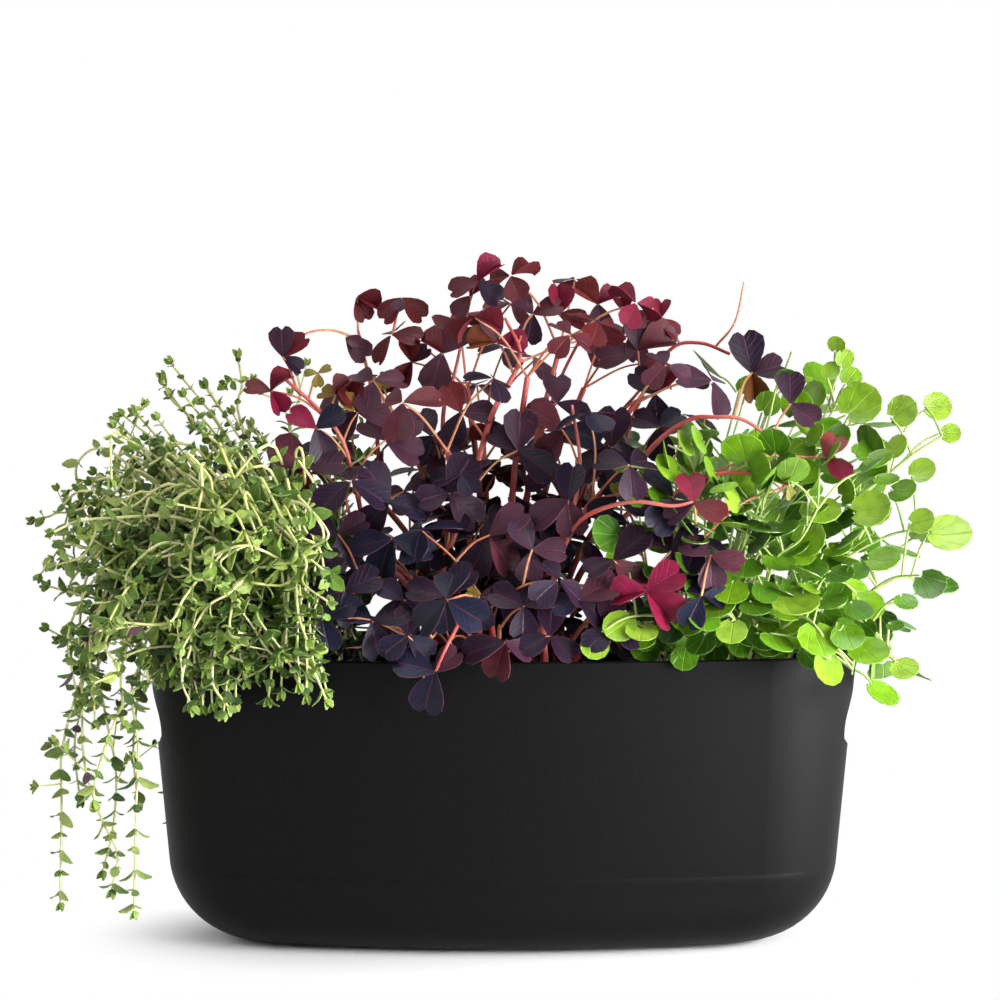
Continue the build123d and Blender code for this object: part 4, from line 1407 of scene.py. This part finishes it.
for across, down, depth, leaflets in trefoils:
    middle = seen_at(across, down, -depth / 1000)
    up = Vector((0, -0.75, 0.65)) + anywhere(0.2)
    young = down < young_row
    longest = 0.015 if young else 0.021
    for leaf_across, leaf_down, tone in leaflets:
        seen = Vector((leaf_across - across, 0, down - leaf_down)) * 2 * pixel
        full_grown = chance.uniform(0.014, 0.017) if down > small_low or across > small_right else 0.011
        if young:
            full_grown *= 0.78
        size = 0.007 if tone > 0.94 else max(full_grown, min(seen.length, longest))
        seen *= min(1, size / seen.length)
        tilt = math.sqrt(max(0, size**2 - seen.length**2))
        seen.y = tilt * (-1 if leaf_down > down else 0.8)
        leaflet(middle, seen, up, size, tone)
    oxalis.stalk("oxalis_petiole", middle, stalk_thick)
print("trefoils in front:", len(trefoils))

# %% [markdown]
# Behind these, the bush goes on. First come the trefoils of the CAD model, three leaflets with one stalk end.
# Then others are scattered between them, each turned outwards and up, as leaves turn to light.
# The lower ones are dark, as painted shade deep in the bush, and the young ones at the top are red.

# %% Oxalis trefoils behind
filler_trefoils = 130
high_fillers = 70
groups = []
for leaf in cad_leaves("oxalis_leaves"):
    group = next((g for g in groups if (g[0][0] - leaf[0]).length < 0.004), None)
    if group:
        group.append(leaf)
    else:
        groups.append([leaf])


def painted_shade_and_age_tone(height):
    """Dark low in the bush as painted shade, red where it is young."""
    young = max(0, (height - 0.15) / 0.16)
    return held(chance.gauss(0.06 + 0.5 * young**2, 0.06 + 0.12 * young), 0, 0.86)


for group in groups:
    middle = middle_of([leaf[0] for leaf in group])
    tone = painted_shade_and_age_tone(middle.z)
    grown = 0.95 - 0.2 * held((middle.z - 0.25) / 0.05)
    for base, along, up, size in group:
        leaflet(base, along, up, size * grown, tone)
print("trefoils of the CAD model:", len(groups))
# The low fillers sit deep in the bush, where their dark tone is painted shade.
for filler in range(filler_trefoils):
    turn = chance.uniform(0, math.tau)
    height = chance.uniform(0.165, 0.25) if filler < high_fillers else chance.uniform(0.14, 0.195)
    out = chance.uniform(0.1, 0.85 - 3 * max(0, height - 0.17))
    middle = Vector((0.1 * out * math.cos(turn), 0.07 * out * math.sin(turn), height))
    up = (Vector((0.6 * math.cos(turn), 0.6 * math.sin(turn), 0.8)) + anywhere(0.3)).normalized()
    spread, tone = chance.uniform(0, math.tau), painted_shade_and_age_tone(height)
    for third in range(3):
        along = Matrix.Rotation(spread + third * math.tau / 3, 3, up) @ up.orthogonal().normalized()
        leaflet(middle, along - up * 0.15, up, chance.uniform(0.013, 0.018), tone)
    oxalis.stalk("oxalis_petiole", middle, stalk_thick)
red_skin = stem_finish("oxalis_stem_skin", (0.46, 0.05, 0.05), (0.62, 0.17, 0.13), (0.2, 0.02, 0.02))
pink_skin = stem_finish("oxalis_petiole_skin", (0.5, 0.13, 0.07), (0.6, 0.3, 0.14), (0.35, 0.05, 0.05))
oxalis.finish("oxalis_leaf", "oxalis_stem", {"oxalis_stem": red_skin, "oxalis_petiole": pink_skin})
drop(open_leaflet)
drop(folded_leaflet)

# %% [markdown]
# The cress stands on long thin green stems. Those in front are listed, by a root on the soil and a row
# of spots in the picture. The others follow the CAD model, and one that would cut the tub goes over its rim.

# %% Cress stems
cress = Foliage("cress")
chance = random.Random(5)
cress_stems = [
    ((10, -8), [(780, 600, 30), (826, 520, 30), (874, 485, 34), (912, 455, 36), (942, 436, 38)]),
    ((20, -10), [(800, 600, 36), (834, 566, 42), (890, 535, 46), (930, 530, 48)]),
    ((28, -10), [(815, 620, 40), (864, 596, 50), (902, 577, 52), (926, 585, 52)]),
    ((5, 0), [(755, 560, 15), (800, 470, 15), (830, 400, 16), (838, 350, 16)]),
    ((-5, -10), [(730, 580, 30), (745, 500, 34), (766, 430, 30), (775, 392, 28)]),
    ((-20, -12), [(700, 590, 40), (705, 520, 48), (690, 460, 50), (668, 445, 50)]),
    ((12, -25), [(760, 610, 55), (775, 560, 62), (800, 540, 66), (818, 508, 66)]),
    ((24, 5), [(830, 580, 5), (880, 500, 5), (905, 430, 8), (936, 402, 10)]),
    ((8, 8), [(780, 540, -10), (830, 450, -8), (856, 400, 0), (850, 378, 2)]),
    ((-12, -30), [(735, 625, 62), (720, 610, 70), (700, 606, 74)]),
    ((30, -22), [(830, 625, 56), (862, 622, 66), (880, 640, 70), (903, 664, 70)]),
    ((15, -32), [(790, 622, 66), (806, 618, 74), (826, 640, 80), (830, 660, 82)]),
    ((-28, -28), [(700, 628, 62), (660, 616, 74), (626, 618, 80), (602, 632, 82)]),
]
for root, spots in cress_stems:
    if cress.grow("cress_stem", cress.route(root, spots), thick=0.0018, thin=0.0011) is None:
        print("a stem hits the tub:", spots[-1])
for points, thickness in cad_stems("cress", ring_size=0.0022):
    if not cress.grow("cress_stem", points, thickness, thin=0.001):
        foot, end = points[0], points[-1]
        brow = foot.lerp(end, 0.7)
        brow.z = rim_z + 0.02
        cress.grow("cress_stem", [foot, steep_start(foot, brow), brow, end], thickness, thin=0.001)
print("cress stems:", len(cress.lines))

# %% [markdown]
# The cress has round leaves, deep green low inside the bush as painted shade, and lime where they are new.
# Those in front are again listed one by one, each with its diameter in the picture and its tone.

# %% Cress leaves in front
front_leaves = [
    (857, 405, 38, 0.55), (900, 412, 28, 0.85), (935, 406, 26, 0.9), (796, 407, 28, 0.45),
    (813, 396, 24, 0.5), (786, 380, 20, 0.15), (743, 452, 36, 0.4), (798, 452, 26, 0.35),
    (801, 473, 31, 0.4), (712, 471, 26, 0.45), (667, 455, 26, 0.75), (687, 443, 26, 0.75),
    (734, 500, 25, 0.85), (818, 508, 36, 0.85), (867, 509, 36, 0.85), (805, 540, 33, 0.5),
    (766, 525, 40, 0.2), (845, 492, 22, 0.5), (880, 558, 31, 0.5), (945, 532, 40, 0.9),
    (919, 521, 24, 0.85), (920, 471, 24, 0.9), (895, 447, 22, 0.9), (793, 599, 42, 0.85),
    (857, 608, 27, 0.15), (857, 570, 20, 0.15), (928, 582, 30, 0.15), (818, 636, 36, 0.5),
    (847, 634, 28, 0.4), (867, 648, 36, 0.5), (828, 665, 31, 0.5), (732, 629, 28, 0.85),
    (704, 615, 30, 0.15), (731, 589, 31, 0.45), (903, 667, 24, 0.85), (642, 629, 28, 0.8),
    (622, 624, 30, 0.75), (596, 643, 26, 0.8), (734, 525, 24, 0.7), (894, 625, 16, 0.1),
    (767, 405, 22, 0.4), (812, 568, 26, 0.1), (758, 540, 28, 0.1), (776, 640, 30, 0.3),
    (755, 606, 28, 0.2), (836, 346, 16, 0.8), (844, 360, 18, 0.7), (850, 378, 20, 0.6),
    (949, 433, 18, 0.85), (830, 372, 18, 0.6), (770, 478, 30, 0.25), (846, 540, 30, 0.25),
    (900, 490, 26, 0.4), (835, 440, 28, 0.3), (876, 458, 26, 0.45), (690, 560, 28, 0.15),
    (700, 590, 28, 0.1), (745, 565, 30, 0.15), (830, 600, 28, 0.2), (905, 600, 22, 0.2),
    (665, 498, 30, 0.35), (768, 487, 26, 0.2), (774, 445, 30, 0.2), (717, 603, 34, 0.4),
    (700, 440, 28, 0.35), (672, 468, 30, 0.55), (690, 490, 28, 0.3), (722, 490, 26, 0.25),
    (757, 470, 30, 0.3), (702, 525, 30, 0.25), (790, 500, 30, 0.4), (838, 573, 24, 0.15),
    (778, 560, 30, 0.3), (765, 590, 26, 0.2), (832, 471, 28, 0.25),
]


def cress_depth(across, down):
    """How far a leaf stands in front of the tub's middle: further the lower it is, and beside the oxalis."""
    depth = 0.02 + 0.062 * held((down - 390) / 240) ** 0.8
    beside_oxalis = across < 780 and 420 < down < 570
    return max(depth, 0.066) if beside_oxalis else depth


def cress_blade(middle, size, tone, up, along=None, foot=None):
    """A round leaf about its middle, and its stalk from the nearest stem or from a foot."""
    if along is None:
        away = middle - Vector((0.112, -0.02, 0.19))
        along = (away.normalized() + Vector((0, 0, -0.25)) + anywhere(0.4)).normalized()
    base = middle - along * size * 0.42
    tone, wide = tone + chance.gauss(0.06, 0.05), chance.uniform(0.92, 1.08)
    if cress.stalk("cress_stem", base + along * size * 0.08, 0.0013, foot):
        if not cress.put(cress_leaf, base, along, up, size, tone, wide):
            cress.stems["cress_stem"].pop()


for across, down, wide, tone in front_leaves:
    up = Vector((0.1, -0.9, 0.6)) + anywhere(0.35)
    cress_blade(seen_at(across, down, -cress_depth(across, down)), wide * pixel * 1.15, tone, up)
print("cress leaves in front:", len(front_leaves))

# %% [markdown]
# Then come the leaves of the CAD model, apart from its very highest, which would stand clear above the bush.
# More leaves close the front, the low ones small and dark with painted shade, and others fill in behind.

# %% Cress leaves behind
highest_leaf = 0.285
front_fillers = 130
low_fillers = 60
back_fillers = 95
for base, along, up, size in cad_leaves("cress_leaves"):
    if base.z > highest_leaf:
        continue
    # Tone rises with height: low leaves darker as painted shade inside the bush, high ones lime as new
    # growth.
    tone = 0.15 + 0.5 * (base.z - 0.14) / 0.16 + chance.gauss(0, 0.12)
    cress_blade(base + along * size * 0.65, size * 0.72, tone, up, along, base)
for filler in range(front_fillers):
    low = filler < low_fillers
    height = chance.uniform(0.146, 0.165) if low else chance.uniform(0.155, 0.24)
    middle = Vector((chance.uniform(0.05, 0.18), chance.uniform(-0.074, -0.03), height))
    up = Vector((0.1, -0.8, 0.7)) + anywhere(0.45)
    size = chance.uniform(0.011, 0.015 if low else 0.019)
    # The low front fillers get dark tones: painted shade under the bush.
    cress_blade(middle, size, chance.gauss(0.15 if low else 0.3, 0.16), up)
for _ in range(back_fillers):
    turn, out = chance.uniform(0, math.tau), chance.uniform(0.1, 0.85)
    height = chance.uniform(0.15, 0.25)
    middle = Vector((0.12 + 0.075 * out * math.cos(turn), 0.07 * out * math.sin(turn), height))
    up = Vector((0.6 * math.cos(turn), 0.7 * math.sin(turn), 0.75)) + anywhere(0.35)
    cress_blade(middle, chance.uniform(0.012, 0.019), chance.gauss(0.25, 0.15), up)
cress_skin = stem_finish("cress_stem_skin", (0.32, 0.46, 0.12), (0.48, 0.58, 0.2), (0.2, 0.34, 0.06))
cress.finish("cress_leaf", "cress_stem", {"cress_stem": cress_skin})
drop(cress_leaf)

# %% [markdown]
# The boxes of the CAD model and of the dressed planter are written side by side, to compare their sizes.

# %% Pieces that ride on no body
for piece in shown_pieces():
    if "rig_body" not in piece:
        print("not yet riding:", piece.name)
